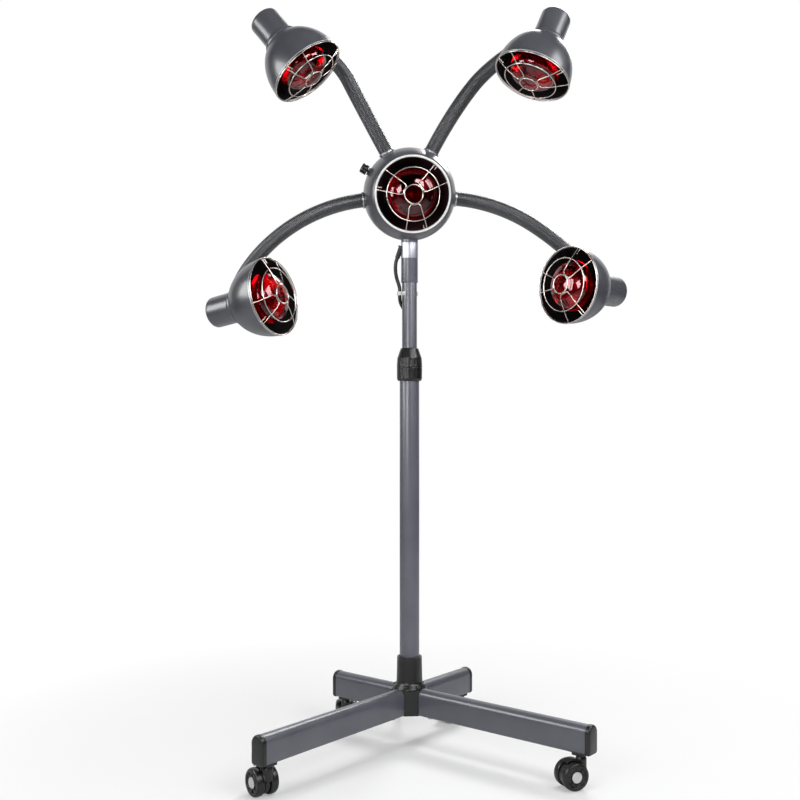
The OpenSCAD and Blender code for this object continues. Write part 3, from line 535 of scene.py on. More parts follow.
def castor_wheel():
    """One wheel, its face up: a crowned tread, a recessed face with short webs, and the cap's seat."""
    r = WHEEL_D / 2
    tyre = revolve(rounded([(3.1, 0.4), (r - 2.2, 0.4), (r - 0.4, 2), (r, 7), (r - 0.5, 12), (r - 2.4, 14.8),
                            (r - 5.5, 15.6), (r - 7, 15.2), (r - 8, 12.8), (11.2, 12.8), (10.8, 14.8),
                            (9.9, 14.8), (9.9, 12), (3.1, 12), (3.1, 0.4)], 1.0), 72)
    webs = [moved(box(10.6, r - 7.4, -1, 1, 12, 14.3), turn("z", 45 * k)) for k in range(8)]
    return [tyre, *webs]


def hub_cap():
    """The wheel's cap: a shallow dome with a dimple in the middle."""
    profile = [(9.6, 11.6), (9.6, 14.4), (8.6, 15.6), (2.6, 16.0), (1.8, 15.5), (0, 15.5)]
    return revolve(rounded(profile, 0.7), 48)


for key in CASTORS:
    at = castor_frame(key)
    stem = revolve(rounded([(0, 54.8), (7, 54.8), (7, 55.6), (5, 55.6), (5, 88), (0, 88)], 0.2), 32)
    hood = painted(castor_hood(), TREAD) + painted([stem], STEEL)
    piece(f"castor_{key}_hood_moulded", carried(hood, at), f"castor_{key}", [f"castor_{key}_hood"],
          bevel=0.4)
    parts = []
    for side in (-1, 1):
        to_wheel = at @ shift(TRAIL, side * (WHEEL_GAP / 2 + 0.2), WHEEL_D / 2) @ turn("x", -90 * side)
        parts += carried(painted(castor_wheel(), TREAD) + painted([hub_cap()], HUBCAP), to_wheel)
    piece(f"castor_{key}_wheels_moulded", parts, f"wheels_{key}", [f"castor_{key}_wheels"],
          bevel=0.25)


# The column

def tube_profile(outer, wall, z0, z1):
    """A tube's wall as a closed profile with its ends' edges broken."""
    p = [(outer, z0), (outer, z1), (outer - wall, z1), (outer - wall, z0)]
    p = rounded(p, 0.4, closed=True)
    return np.vstack([p, p[:1]])


piece("lower_tube_painted", [(*revolve(tube_profile(TUBE_D / 2, 1.5, TUBE_Z, TUBE_TOP)), TUBE)], "root",
      ["lower_tube"])
MAST_TOP, MAST_BOTTOM = NECK_Z + 55, TUBE_Z + 4
piece("mast_painted", [(*revolve(tube_profile(MAST_D / 2, 1.5, MAST_BOTTOM, MAST_TOP)), TUBE)], "mast",
      ["upper_tube"])


def fluted(profile, sides, count, depth, low, high):
    """A turned shape whose radius dips by depth along count flutes between two heights: r - d w(h) c(a),
    where c is the sharpened cosine of count times the angle and w fades at both ends."""
    points, faces = revolve(profile, sides)
    r = np.hypot(points[:, 0], points[:, 1])
    a = np.arctan2(points[:, 1], points[:, 0])
    fade = np.clip((points[:, 2] - low) / 1.5, 0, 1) * np.clip((high - points[:, 2]) / 1.5, 0, 1)
    dip = depth * fade * np.clip(np.cos(count * a), 0, 1) ** 1.5 * (r > profile[:, 0].max() * 0.9)
    points[:, :2] *= ((r - dip) / np.maximum(r, 1e-6))[:, None]
    return points, faces


def along(z0, z1, radius0, radius1, steps):
    """Extra profile points on a straight side, so that flutes can fade along it."""
    t = np.linspace(0, 1, steps)
    return [(radius0 + (radius1 - radius0) * k, z0 + (z1 - z0) * k) for k in t]


def collar_nut():
    """The turning nut: sixteen flutes on its grip, and a domed top that closes on the upper tube."""
    z, top = NUT_Z, NUT_Z + NUT_H
    outline = [(17.4, z + 26), (17.4, z), (24.5, z), *along(z + 0.6, z + 18, 24.6, 23.6, 12),
               (17.9, top - 2.5), (17.0, top), (15.3, top), (15.3, top - 4)]
    radii = [0, 0.5, 0.8, *[0.0] * 11, 1.5, 2.0, 1.0, 0.5, 0]
    return fluted(rounded(outline, radii), 192, 16, 0.7, z + 2, z + 17)


def collar_body():
    """The fixed part of the collar, fluted like the nut, with a cone at its foot."""
    z0, z1 = TUBE_TOP - 23, NUT_Z - 0.4
    outline = [(19.1, z0 + 8), (19.1, z0), (22, z0), (24.2, z0 + 4), *along(z0 + 5, z1 - 0.8, 24.3, 24.5, 12),
               (24.3, z1), (17.5, z1)]
    radii = [0, 0.4, 1.0, 1.5, *[0.0] * 12, 0.6, 0]
    return fluted(rounded(outline, radii), 192, 16, 0.5, z0 + 5, z1 - 1)


piece("collar_nut_moulded", [(*collar_nut(), BLACK)], "collar", ["collar_nut"])
piece("collar_body_moulded", [(*collar_body(), BLACK)], "root", ["collar_body"])

CLIP_Z, CLIP_XY = NECK_Z - 25, (-(MAST_D / 2 + CORD_D / 2 + 0.6), 3)


def cord_clip():
    """A snap-on clip: a C round the back of the mast and a ring round the cord, both a flat band."""
    band = rounded([(-0.8, -4), (0.8, -4), (0.8, 4), (-0.8, 4)], 0.6, closed=True)
    grip = np.radians(np.linspace(-11, 234, 60))
    grip = (MAST_D / 2 + 1.0) * np.stack([np.cos(grip), np.sin(grip), 0 * grip], 1) + [0, 0, CLIP_Z + 4]
    loop = np.c_[circle(CORD_D / 2 + 1.1, 48), np.full(48, CLIP_Z + 4)] + [*CLIP_XY, 0]
    return [sweep(band, grip), sweep(band, loop, closed=True)]


piece("cord_clip_moulded", painted(cord_clip(), WHITE), "mast", ["cord_clip"])


# The housing

FRONT_HALF, BACK_HALF, BACK_POWER = 96, 100, 2.6


def housing_radius(z):
    """The spun bowl's outside: an ellipse ahead of the middle, and a fuller curve behind it, where
    (r / R) and (z / half), each to the power, add up to 1."""
    front = HEAD_D / 2 * np.sqrt(np.clip(1 - (z / FRONT_HALF) ** 2, 0, 1))
    share = np.clip(-z / BACK_HALF, 0, 1) ** BACK_POWER
    back = HEAD_D / 2 * np.clip(1 - share, 0, 1) ** (1 / BACK_POWER)
    return np.where(z > 0, front, back)


def housing():
    """The bowl's profile: its flat back, its outside, the rolled lip and its inside."""
    z = np.concatenate([np.linspace(-HEAD_BACK, -60, 14)[1:], np.linspace(-60, HEAD_FRONT, 40)[1:]])
    outer = np.stack([housing_radius(z), z], 1)
    back = [(0, -HEAD_BACK), (housing_radius(np.float64(-HEAD_BACK)) - 3, -HEAD_BACK)]
    lip = [(RIM_R + 3.6, HEAD_FRONT + 0.5), (RIM_R + 2.7, HEAD_FRONT + 0.1), (RIM_R + 2.6, HEAD_FRONT - 1.2)]
    inner = np.stack([housing_radius(z) - SHEET, np.maximum(z, SHEET - HEAD_BACK)], 1)[::-1][2:]
    return np.vstack([back, outer, lip, inner, [(0, SHEET - HEAD_BACK)]])


def neck_sleeve():
    """The sleeve's profile, from its mouth round the mast to the flare under the housing."""
    top = HEAD_Z - HEAD_D / 2 + 6
    r = NECK_D / 2
    return rounded([(MAST_D / 2 + 0.1, NECK_Z + 30), (MAST_D / 2 + 0.1, NECK_Z), (r, NECK_Z), (r, top - 4),
                    (r + 3, top + 1), (r + 5, top + 3), (r + 5, top + 5), (0, top + 5)],
                   [0, 0.3, 0.9, 4, 3, 1, 0.5, 0])


LABEL_Z = (938, 968)
piece("housing_painted", [(*moved(revolve(housing(), 144), HEAD), GREY)], "head", ["head_housing"])
piece("neck_sleeve_painted", [(*revolve(neck_sleeve(), 72), TUBE)], "head", ["neck_sleeve"])
under, over = NECK_D / 2 - 0.3, NECK_D / 2 + 0.12
label = rounded([(under, LABEL_Z[0]), (over, LABEL_Z[0]), (over, LABEL_Z[1]), (under, LABEL_Z[1])], 0.1)
piece("neck_foil_band", [(*revolve(label, 96), FOIL)], "head")


def bell(depth):
    """The spun bell: outside and lining follow the ellipse r = R sqrt(1 - (z / half)^2), 1.2 mm apart."""
    z = -depth * np.sin(np.radians(np.linspace(0, 90, 28)))
    outer = np.stack([RIM_R * np.sqrt(1 - (z / BELL_HALF) ** 2), z], 1)
    inner = outer - [SHEET, 0]
    inner[:, 1] = np.minimum(inner[:, 1] + 0.3, 0)
    return outer[::-1], inner


def bead(radius, thickness, z=0.0, sides=144):
    """A wire or rolled edge: a small circle carried round the axis."""
    path = np.c_[circle(radius, sides), np.full(sides, z)]
    return sweep(circle(thickness / 2, 16), path, closed=True)


def centre_shade():
    """The inner shade of the middle lamp: a shallow bell, and a flange that seats on the housing's lip."""
    outer, inner = bell(60)
    lip = HEAD_FRONT - CENTRE_RIM
    flange = rounded([(RIM_R - 0.8, -4.4), (RIM_R - 0.8, -1), (RIM_R + 1.2, -1.2), (RIM_R + 4.6, lip + 1.8),
                      (RIM_R + 4.6, lip + 0.9), (RIM_R + 0.9, -5)], 0.5)
    # The bell's lining carries the painted red light of the bulb as a maroon tint.
    return [(*revolve(np.vstack([outer, inner]), 144), RED_GLOW_LINING), (*revolve(flange, 144), GREY),
            (*bead(RIM_R - 0.2, 2.6), GREY)]


CENTRE = HEAD @ shift(0, 0, CENTRE_RIM)


# Bulbs, guards and holders

def bulb_profile(grow=0.0):
    """A reflector bulb's outside from its screw cap to its face, as (radius, height), less grow."""
    r, neck = BULB_R, 16.25
    body = [(neck, -106), (neck, -100), (neck + 3, -90), (r * 0.53, -80), (r * 0.69, -68), (r * 0.86, -54),
            (r * 0.965, -40), (r, -29), (r * 0.98, -20), (r * 0.9, -12.5), (r * 0.72, -6), (r * 0.45, -1.4),
            (0, 0)]
    curve = smooth_path([(x, 0, BULB_FACE + z) for x, z in body], 5)[:, [0, 2]]
    curve[-1, 0] = 0
    slope = np.gradient(curve, axis=0)
    slope /= np.linalg.norm(slope, axis=1)[:, None]
    out = curve - grow * np.stack([slope[:, 1], -slope[:, 0]], 1)
    out[:, 0] = np.maximum(out[:, 0], 0)
    out[-1, 0] = 0
    return out


def bulb():
    """The glass wall as one closed shell, the mirror that lines its back, the screw cap and the filament."""
    outside, inside = bulb_profile(), bulb_profile(1.4)
    glass = revolve(np.vstack([outside, inside[::-1]]))
    seen = inside[inside[:, 1] < BULB_FACE - 32] - [0.4, 0]
    back = np.vstack([seen[::-1], seen - [0.5, 0]])
    lining = revolve(np.vstack([back, back[:1]]))
    base = BULB_FACE - BULB_LEN
    z = np.linspace(base + 6, base + 27, 60)
    thread = np.stack([12.8 + 0.5 * np.cos(2 * np.pi * z / 3.6), z], 1)
    contact = [(0, base), (4, base), (5, base + 1.5), (11, base + 5)]
    cap = revolve(np.vstack([contact, thread, [(16.3, base + 28)]]), 48)
    ring = sweep(circle(0.35, 8), np.c_[circle(9, 48), np.full(48, BULB_FACE - 60.0)], closed=True)
    stem = revolve(rounded([(0, -100), (5, -100), (4, -82), (2.2, -68), (0, -66)], 1) + [0, BULB_FACE], 24)
    wires = []
    for x in (-4, 4):
        path = np.array([(x, 0, -92), (x * 1.5, 0, -72), (x * 2.25, 0, -60)]) + [0, 0, BULB_FACE]
        wires.append(sweep(circle(0.5, 8), path, [0, 1, 0]))
    return [(*glass, GLASS), (*lining, MIRROR), (*cap, STEEL), (*ring, STEEL), (*stem, PORCELAIN),
            *painted(wires, STEEL)]


DOME_Z0 = 2 + WIRE_D / 2
GUARD_R = RIM_R - 0.5
DOME_MID = (GUARD_H ** 2 + INNER_RING_R ** 2 - DOME_Z0 ** 2 - GUARD_R ** 2) / (2 * (GUARD_H - DOME_Z0))
DOME_BALL = math.hypot(GUARD_R, DOME_Z0 - DOME_MID)
SPOKE_AT, HOOK_PAST = 37, 12.5


def dome(r):
    """Height of the guard's ball at radius r: the ball through the outer and the inner ring."""
    return DOME_MID + np.sqrt(DOME_BALL ** 2 - np.asarray(r, float) ** 2)


def guard(rim_wire, finish):
    """Three rings and three U-shaped spokes, whose bottoms hug the inner ring, with short hooks at the
    rim. The outer ring's thickness and finish are given, as the middle guard has a thicker white one."""
    outer = bead(GUARD_R + (WIRE_D - rim_wire) / 2, rim_wire, DOME_Z0)
    wires = [bead(MID_RING_R, SPOKE_D, dome(MID_RING_R), 96), bead(INNER_RING_R, SPOKE_D, GUARD_H, 64)]
    leg = np.linspace([68.4, 20.9], [25.0, 11.2], 6)
    half = [(np.hypot(x, y), np.degrees(np.arctan2(y, x))) for x, y in leg]
    half += [(21.0, 22), (19.7, 14), (19.5, 0)]
    route = half + [(r, -a) for r, a in half[-2::-1]]
    r, a = np.array(route).T
    for k in range(3):
        t = np.radians(a + SPOKE_AT + 120 * k)
        plan = smooth_path(np.stack([r * np.cos(t), r * np.sin(t), 0 * r], 1), 6)
        reach = np.hypot(plan[:, 0], plan[:, 1])
        plan[:, 2] = dome(reach) - 1.2 * np.clip((GUARD_R - reach) / 8, 0, 1)
        wires.append(sweep(circle(SPOKE_D / 2, 10), plan))
        t = math.radians(SPOKE_AT + 120 * k + HOOK_PAST)
        hook = np.array([(GUARD_R + 0.5, 0.5), (GUARD_R - 1.5, 4), (GUARD_R - 6, 6), (GUARD_R - 11, 8)])
        hook = np.stack([hook[:, 0] * math.cos(t), hook[:, 0] * math.sin(t), hook[:, 1]], 1)
        wires.append(sweep(circle(0.9, 10), smooth_path(hook, 4)))
    return [(*outer, finish)] + painted(wires, WIRE)


def lampholder(z0):
    """The porcelain holder round the bulb's cap, a turned cup on a flange."""
    base = BULB_FACE - BULB_LEN
    return revolve(rounded([(0, z0), (24, z0), (24, z0 + 4), (20, z0 + 5), (20, base + 24), (13.6, base + 24),
                            (13.6, base - 0.5), (0, base - 0.5)], 0.8), 48)


def socket_cup():
    """The cup behind the bell: a rounded end, a straight wall, and a shoulder that flares to the bell."""
    r, top, end = CUP_R, -BELL_DEPTH - 0.1, -CUP_END
    neck = RIM_R * math.sqrt(1 - (BELL_DEPTH / BELL_HALF) ** 2)
    profile = [(0, end), (r - 7, end), (r, end + 5), (r, top - 9), (neck + 0.9, top - 4.5),
               (neck + 0.9, top + 0.4), (neck - 1, top + 0.6), (neck - 1, top - 3), (r - SHEET, top - 9),
               (r - SHEET, end + 6), (r - 8, end + 1.5), (0, end + 1.5)]
    return revolve(rounded(profile, [0, 4, 8, 1.5, 2, 0.8, 0.5, 1, 1, 6, 2, 0]))


def arm_boss():
    """The short boss on the cup's side that takes the gooseneck's end, with its clamping ring."""
    mouth = STUB_LEN - HOSE_START
    boss = [(0, 24), (HOSE_R + 3, 24), (HOSE_R + 1.6, 28), (HOSE_R + 0.6, mouth + 1),
            (HOSE_R - 1.5, mouth + 1.6), (0, mouth + 1.6)]
    return revolve(rounded(boss, [0, 0, 1.5, 0.8, 0.4, 0]), 48)


TO_BOSS = shift(0, 0, -JUNCTION) @ turn("y", 90)
piece("centre_shade_painted", carried(centre_shade(), CENTRE), "head", ["centre_shade"])
piece("centre_guard_plated", carried(guard(4.2, TRIM), CENTRE), "head", ["centre_guard"])
piece("centre_bulb_glass", carried(bulb(), CENTRE), "head", ["centre_bulb"])


def ferrule():
    """The plated ring at the gooseneck's root, with the thin edge that catches the light."""
    return revolve(rounded([(11, -5), (HOSE_R + 1.2, -4), (HOSE_R + 1.9, -2.4), (HOSE_R + 1.9, -0.9),
                            (HOSE_R + 1.0, -0.3), (10.6, -0.3)], 0.5), 64)


# The goosenecks

RIB_PITCH, RIB_DEPTH, RIB_ROWS, HOSE_SIDES = 3.0, 1.0, 7, 48


def hose_route(s, frames, arm):
    """Centre, slope and roll at length s from the root: the inner arc, the outer arc, then straight on."""
    inner, outer, tip, _ = frames
    centre, axes = np.zeros((len(s), 3)), np.zeros((len(s), 3, 3))
    for k, value in enumerate(s):
        if value <= HALF_LEN:
            base, bend, roll, at = inner, arm["bends"][0], arm["rolls"][0], max(value, 0)
            rest = min(value, 0)
        elif value <= 2 * HALF_LEN:
            base, bend, roll, at, rest = outer, arm["bends"][1], arm["rolls"][1], value - HALF_LEN, 0
        else:
            base, bend, roll, at = outer, arm["bends"][1], arm["rolls"][1], HALF_LEN
            rest = value - 2 * HALF_LEN
        point, angle = on_arc(np.float64(at), bend)
        m = base @ shift(*point) @ turn("y", math.degrees(angle)) @ turn("z", -roll) @ shift(0, 0, rest)
        centre[k], axes[k] = m[:3, 3], m[:3, :3]
    return centre, axes


def hose(frames, arm, s0, s1):
    """The ribbed strip-wound hose between two lengths. The radius at length s and angle a is
    R - depth (1 - |sin(pi (s / pitch - a / 2 pi))| ** 0.7), so that one groove winds round it."""
    rows = int(round((s1 - s0) / RIB_PITCH * RIB_ROWS)) + 1
    s = np.linspace(s0, s1, rows)
    centre, axes = hose_route(s, frames, arm)
    a = np.linspace(0, 2 * np.pi, HOSE_SIDES, endpoint=False)
    groove = 1 - np.abs(np.sin(np.pi * (s[:, None] / RIB_PITCH - a / (2 * np.pi)))) ** 0.7
    r = HOSE_R - RIB_DEPTH * groove
    ring = np.stack([r * np.cos(a), r * np.sin(a), 0 * r], -1)
    points = centre[:, None] + np.einsum("kij,kaj->kai", axes, ring)
    faces = grid_faces(rows, HOSE_SIDES).tolist()
    faces += [list(range(HOSE_SIDES))[::-1], [(rows - 1) * HOSE_SIDES + k for k in range(HOSE_SIDES)]]
    return points.reshape(-1, 3), faces


BEND_SPREAD = 60
for key, arm in ARMS.items():
    frames = arm_frames(arm)
    lamp = frames[3]
    at_root = HEAD @ turn("z", arm["at"]) @ shift(0, 0, ARM_BACK) @ turn("y", 90) @ shift(0, 0, ARM_R)
    piece(f"ferrule_{key}_plated", [(*moved(ferrule(), at_root), RIM)], "head")
    cuts = [0.2, HALF_LEN / 2, HALF_LEN * 1.5, 2 * HALF_LEN + 6]
    spans = [("root", [f"gooseneck_inner_{key}"], "head", f"arm_{key}", 0, BEND_SPREAD),
             ("middle", [], f"arm_{key}", f"forearm_{key}", HALF_LEN - BEND_SPREAD, HALF_LEN + BEND_SPREAD),
             ("tip", [f"gooseneck_outer_{key}"], f"forearm_{key}", f"lamp_{key}", 2 * HALF_LEN - BEND_SPREAD,
              2 * HALF_LEN)]
    for n, (span, stands_for, a, b, start, end) in enumerate(spans):
        part = piece(f"gooseneck_{key}_{span}", [(*hose(frames, arm, cuts[n], cuts[n + 1]), HOSE)], None,
                     stands_for, sharp=80)
        ends, _ = hose_route(np.array([start, end], float), frames, arm)
        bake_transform(part)
    outer, inner = bell(BELL_DEPTH)
    seam = revolve(np.array([outer[0], inner[-1]])[::-1], 144)
    shade = [(*revolve(outer, 144), GREY), (*revolve(inner, 144), LINING), (*bead(RIM_R - 0.2, 2.4), RIM),
             (*seam, GREY)]
    cup = [(*socket_cup(), GREY), (*moved(arm_boss(), TO_BOSS), GREY),
           (*lampholder(2.1 - CUP_END), PORCELAIN)]
    for node, word, parts, slot in (("shade", "painted", shade, "grey_enamel"),
                                    ("socket_cup", "painted", cup, "grey_enamel"),
                                    ("bulb", "glass", bulb(), "ruby_glass"),
                                    ("guard", "plated", guard(1.8, WIRE), "guard_wire")):
        piece(f"{node}_{key}_{word}", carried(parts, lamp), f"lamp_{key}", [f"{node}_{key}"])


# The knob and its stem

def knob():
    """The switch knob, standing out from the housing along Z: eighteen flutes and a dished face."""
    z0 = HEAD_D / 2 + 4.6
    top = z0 + KNOB_LEN
    outline = [(0, z0 - 4), (3, z0 - 4), (3, z0), (KNOB_D / 2 + 0.6, z0),
               *along(z0 + 0.8, top - 2, 9.9, 9.5, 10),
               (8.2, top), (5, top), (4.2, top - 0.8), (0, top - 0.8)]
    radii = [0, 0, 0.3, 0.8, *[0.0] * 9, 1.0, 1.6, 0.6, 0.5, 0]
    return fluted(rounded(outline, radii), 216, 18, 0.8, z0 + 2, top - 1)


at_knob = HEAD @ turn("z", KNOB_AT) @ turn("y", 90)
piece("switch_knob_moulded", [(*moved(knob(), at_knob), GLOSS)], "knob", ["switch_knob"])


# The cord

GLAND_ROOT, GLAND_SLOPE, GLAND_LEN = (-12, 0, NECK_Z + 77), 22, 32
RELIEF_PITCH = 5


def gland():
    """The strain relief: a tapering sleeve with four grooves round it."""
    z = np.linspace(8, GLAND_LEN, 120)
    grooves = 0.7 * np.clip(np.cos(2 * np.pi * (z - 12) / RELIEF_PITCH), 0.3, 1)
    r = 6.4 + (CORD_D / 2 + 0.9 - 6.4) * (z / GLAND_LEN) - grooves + 0.3
    r = np.where(z < 10, 6.9, r)
    return revolve(np.vstack([[(0, 8)], np.stack([r, z], 1), [(3.4, GLAND_LEN + 0.2)]]), 40)


at_gland = shift(*GLAND_ROOT) @ turn("y", 180 + GLAND_SLOPE)
piece("strain_relief_moulded", [(*moved(gland(), at_gland), SHEATH)], "head", ["cord_gland"])

UPPER_ROUTE = [
    (-24, 0, 938.5), (-25.6, 0, 934), (-27, 0, 927), (-27.3, 1, 918), (-26.3, 2, 908), (-24, 3, 898),
    (-21, 3, 889), (-19, 3, 881), (-18.6, 3, 875)]
RUN_ROUTE = [
    (-18.6, 3, 874.6), (-18.6, 3, 862), (-16.5, 9, 853), (-11.5, 17, 845), (-5, 25, 833), (-0.5, 30, 815),
    (1, 31.5, 790), (1, 31.5, 740), (1, 31, 700), (1, 30, 640), (1, 30, 560), (1, 30, 480), (1, 30, 400),
    (1, 30, 330), (1, 32, 280), (2, 37, 230), (4, 49, 180), (6, 66, 140), (8, 90, 100), (8, 118, 65),
    (5, 150, 36), (0, 180, 17), (-5, 207, 7), (-9, 235, 3.5), (-11, 263, 3.5)]
COIL_CENTRE, COIL_TURNS, COIL_R, COIL_PITCH, COIL_TAIL = (34, 270), 3, 45, 7.7, 16


def coil_route():
    """The coil: a spiral that winds in on the floor, climbs a layer and winds out on the turns below."""
    t = np.linspace(0, COIL_TURNS, COIL_TURNS * 40 + 1)
    half = COIL_TURNS / 2
    r = COIL_R - COIL_PITCH * np.where(t < half, t, COIL_TURNS - t)
    z = CORD_D / 2 + COIL_PITCH * np.clip((t - half + 0.25) * 2, 0, 1)
    a = np.radians(180 - 360 * t)
    return np.stack([COIL_CENTRE[0] + r * np.cos(a), COIL_CENTRE[1] + r * np.sin(a), z], 1)


def cord_tube(path):
    """The sheath: a circle carried along the path, square to it, about a side that never lies along it."""
    ahead = np.gradient(path, axis=0)
    ahead /= np.linalg.norm(ahead, axis=1)[:, None]
    side = np.where(np.abs(ahead[:, :1]) > 0.8, [[0.0, 1.0, 0.0]], [[1.0, 0.0, 0.0]])
    return sweep(circle(CORD_D / 2, 16), path, side)


neck_cord = smooth_path(UPPER_ROUTE, 6)
upper = piece("cord_neck_sheath", [(*cord_tube(neck_cord), SHEATH)], None, ["cord_upper"])
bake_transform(upper)
coil = coil_route()
run = smooth_path(RUN_ROUTE + [tuple(coil[0])], 6)
tail = coil[-1] + np.outer(np.linspace(0, 1, 6), [0, COIL_TAIL, 0])
lead_path = np.vstack([run[:-1], coil, tail[1:]])
lead = piece("cord_lead_sheath", [(*cord_tube(lead_path), SHEATH)], None, ["cord_run", "cord_coil"])
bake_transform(lead)


def plug():
    """The moulded plug: a grooved strain relief, a rounded body, two flat blades and an earth pin."""
    z = np.linspace(0, 25, 80)
    r = 4.3 + (6.5 - 4.3) * z / 25 - 0.5 * np.clip(np.cos(2 * np.pi * z / RELIEF_PITCH), 0.2, 1) + 0.1
    relief = revolve(np.vstack([[(3.4, 0)], np.stack([r, z], 1), [(0, 25)]]), 40)
    body = prism(rounded([(-13, -10.5), (13, -10.5), (13, 10.5), (-13, 10.5)], 5, 6, closed=True), 24, 52)
    blades = [box(6.35 * s - 0.75, 6.35 * s + 0.75, -4.2, 2.2, 51, 70) for s in (-1, 1)]
    pin = revolve(rounded([(2.4, 51), (2.4, 70), (1.6, 72), (0, 72)], 1), 24)
    return [(*relief, SHEATH), (*body, BLACK), *painted([*blades, moved(pin, shift(0, 6, 0))], STEEL)]


at_plug = shift(*(coil[-1] + [0, COIL_TAIL + 0.1, 0])) @ turn("x", -90)
mains_plug = piece("plug_moulded", carried(plug(), at_plug), "root", ["mains_plug"],
                   bevel=0.4)


def coil_tie():
    """The strap round the coil's turns: a flat band carried round a rounded box section."""
    outer = COIL_CENTRE[0] + COIL_R
    x0, x1 = outer - 2.6 * COIL_PITCH, outer + CORD_D / 2 + 0.8
    loop = rounded([(x0, 0.3), (x1, 0.3), (x1, 15.6), (x0, 15.6)], 4, 8, closed=True)
    path = np.stack([loop[:, 0], np.full(len(loop), COIL_CENTRE[1]), loop[:, 1]], 1)
    return sweep([(-0.3, -4), (0.3, -4), (0.3, 4), (-0.3, 4)], path, [0, 1, 0], closed=True)


tie = piece("coil_tie_strap", [(*coil_tie(), SHEATH)], "root")


# Small hidden parts keep the frame's own shapes

HIDDEN_FINISHES = {
    "hub_bolts": STEEL, "collet": WHITE, "guide_bush": WHITE, "centre_lampholder": PORCELAIN,
    "arm_sockets": STEEL, "switch_body": BLACK, "terminal_block": WHITE, "head_screws": STEEL,
}
for node, finish in HIDDEN_FINISHES.items():
    for slot in frame["nodes"][node].material_slots:
        slot.material = finish


# The stage

# In metres and radians
CAMERA_AT, CAMERA_YAW, CAMERA_PITCH = (-0.22572, -2.07778, 0.668), 0.0994, -0.00186
PHOTO_PX, FOCAL_PX = 800, 1078
WHITE_FROM, WHITE_BY, FLOOR_HALF = 0.3, 0.95, 14.0
FLAG_HALF, FLAG_FRONT, FLAG_BACK, FLAG_TOP = 2.4, -3.2, 1.6, 3.4


def floor_material():
    """Pale studio floor. It keeps the object's shadow near its middle, and turns into plain white for
    the camera further out."""
    m, t = material("pale studio floor")
    path = add(t, "ShaderNodeLightPath")
    diffuse = add(t, "ShaderNodeBsdfDiffuse", {"Color": linear("#f9f9f9")})
    white = add(t, "ShaderNodeEmission", {"Color": (1, 1, 1, 1), "Strength": 1.0})
    where = add(t, "ShaderNodeNewGeometry")
    reach = add(t, "ShaderNodeVectorMath", {0: (where, "Position")}, operation="LENGTH")
    share = add(t, "ShaderNodeMapRange", {
        "Value": (reach, "Value"), "From Min": WHITE_FROM, "From Max": WHITE_BY, "To Min": 0.25})
    seen = add(t, "ShaderNodeMath", {0: (path, "Is Camera Ray"), 1: (share, 0)}, operation="MULTIPLY")
    mixed = add(t, "ShaderNodeMixShader", {0: (seen, 0), 1: (diffuse, 0), 2: (white, 0)})
    finish_of(t, mixed)
    return m


def sheet(name, corners, finish):
    """A flat four-cornered sheet of the stage, with its corners in metres."""
    mesh = bpy.data.meshes.new(name)
    mesh.from_pydata(corners, [], [(0, 1, 2, 3)])
    mesh.materials.append(finish)
    obj = bpy.data.objects.new(name, mesh)
    bpy.context.scene.collection.objects.link(obj)
    return obj


def softbox(name, at, aim, size, power, mirrored=True, lights=True):
    """A rectangular studio light at a point, turned towards another. The camera never sees it. It
    shows in reflections where it is mirrored, and lights matt surfaces where it lights."""
    light = bpy.data.lights.new(name, "AREA")
    light.shape, light.size, light.size_y, light.energy = "RECTANGLE", size[0], size[1], power
    obj = bpy.data.objects.new(name, light)
    bpy.context.scene.collection.objects.link(obj)
    obj.location = at
    obj.rotation_euler = (Vector(aim) - Vector(at)).to_track_quat("-Z", "Z").to_euler()
    obj.visible_camera, obj.visible_glossy, obj.visible_diffuse = False, mirrored, lights


def world():
    """White to the camera, and to reflections and what is seen through glass, but a dim light."""
    w = bpy.data.worlds.new("studio")
    bpy.context.scene.world = w
    w.use_nodes = True
    t = w.node_tree
    t.nodes.clear()
    path = add(t, "ShaderNodeLightPath")
    direct = add(t, "ShaderNodeMath", {0: (path, "Is Camera Ray"), 1: (path, "Is Transmission Ray")},
                 operation="MAXIMUM")
    seen = add(t, "ShaderNodeMath", {0: (direct, 0), 1: (path, "Is Glossy Ray")}, operation="MAXIMUM")
    strength = between(t, seen, 0.2, 1.0)
    shade = add(t, "ShaderNodeBackground", {"Color": (1, 1, 1, 1), "Strength": (strength, 0)})
    add(t, "ShaderNodeOutputWorld", {"Surface": (shade, 0)})


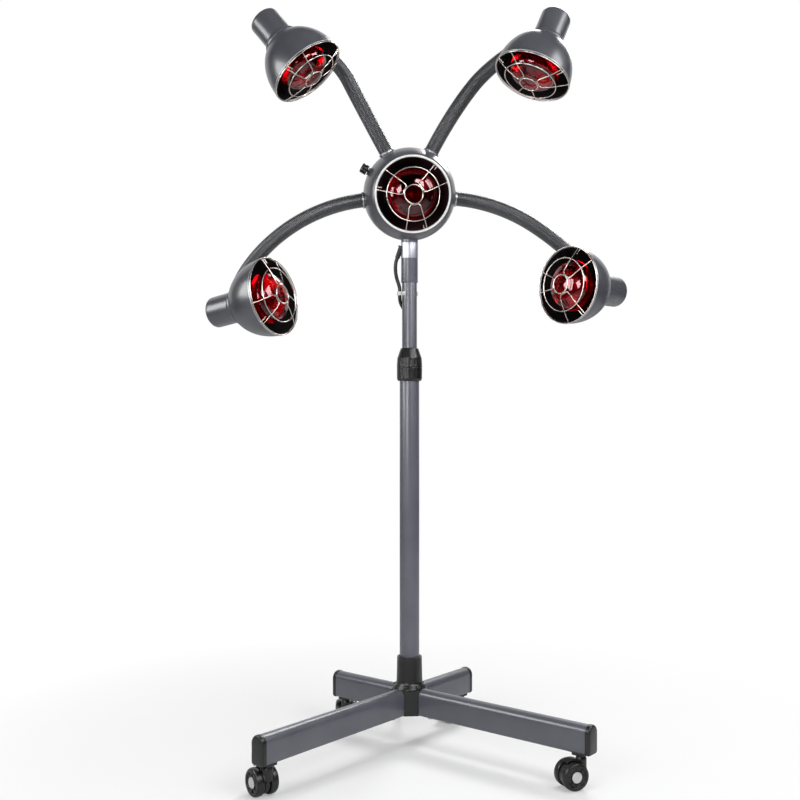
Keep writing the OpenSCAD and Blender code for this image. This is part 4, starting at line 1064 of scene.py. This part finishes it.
def camera():
    """The camera at the photograph's viewpoint, with its focal length given in pixels."""
    data = bpy.data.cameras.new("camera")
    data.sensor_width = 36
    data.lens = FOCAL_PX / PHOTO_PX * data.sensor_width
    obj = bpy.data.objects.new("camera", data)
    bpy.context.scene.collection.objects.link(obj)
    obj.location = CAMERA_AT
    obj.rotation_euler = (math.pi / 2 + CAMERA_PITCH, 0, -CAMERA_YAW)
    bpy.context.scene.camera = obj


def flags():
    """Black cloths behind the camera, at both sides and overhead: only reflections see them, so that
    what faces away from the white background looks dark."""
    m, t = material("black cloth")
    finish_of(t, add(t, "ShaderNodeBsdfDiffuse", {"Color": linear("#060606")}))
    half, front, back, top = FLAG_HALF, FLAG_FRONT, FLAG_BACK, FLAG_TOP
    walls = {
        "front flag": [(-half, front, 0), (half, front, 0), (half, front, top), (-half, front, top)],
        "left flag": [(-half, front, 0), (-half, back, 0), (-half, back, top), (-half, front, top)],
        "right flag": [(half, front, 0), (half, back, 0), (half, back, top), (half, front, top)],
        "overhead flag": [(-half, front, top), (half, front, top), (half, back, top), (-half, back, top)],
    }
    for name, corners in walls.items():
        flag = sheet(name, corners, m)
        flag.visible_camera = flag.visible_diffuse = flag.visible_shadow = False


sheet("floor", [(x * FLOOR_HALF, y * FLOOR_HALF, 0) for x, y in ((-1, -1), (1, -1), (1, 1), (-1, 1))],
      floor_material())
flags()
world()
softbox("left front", (-1.22, -1.9, 1.15), (0, 0, 1.0), (0.75, 0.8), 24, lights=False)
softbox("right front", (0.76, -1.9, 1.79), (0, 0, 1.0), (0.8, 0.8), 30, lights=False)
softbox("right high", (1.5, -0.78, 1.83), (-0.1, 0, 0.95), (0.8, 0.9), 24, lights=False)
softbox("left side", (-1.5, -0.33, 1.18), (0.2, 0, 0.95), (0.7, 0.8), 20, lights=False)
softbox("back right", (1.0, 1.5, 2.5), (0.25, 0, 1.2), (0.9, 0.9), 40)
softbox("left key", (-1.3, -1.5, 1.2), (0, 0, 0.9), (1.0, 1.2), 13, mirrored=False)
softbox("right key", (1.1, -1.5, 1.7), (0, 0, 0.9), (1.0, 1.2), 19, mirrored=False)
softbox("overhead", (0.1, -0.2, 2.9), (0, 0, 0.6), (1.6, 1.6), 18, mirrored=False)
camera()
bpy.context.scene.view_settings.view_transform = "Standard"
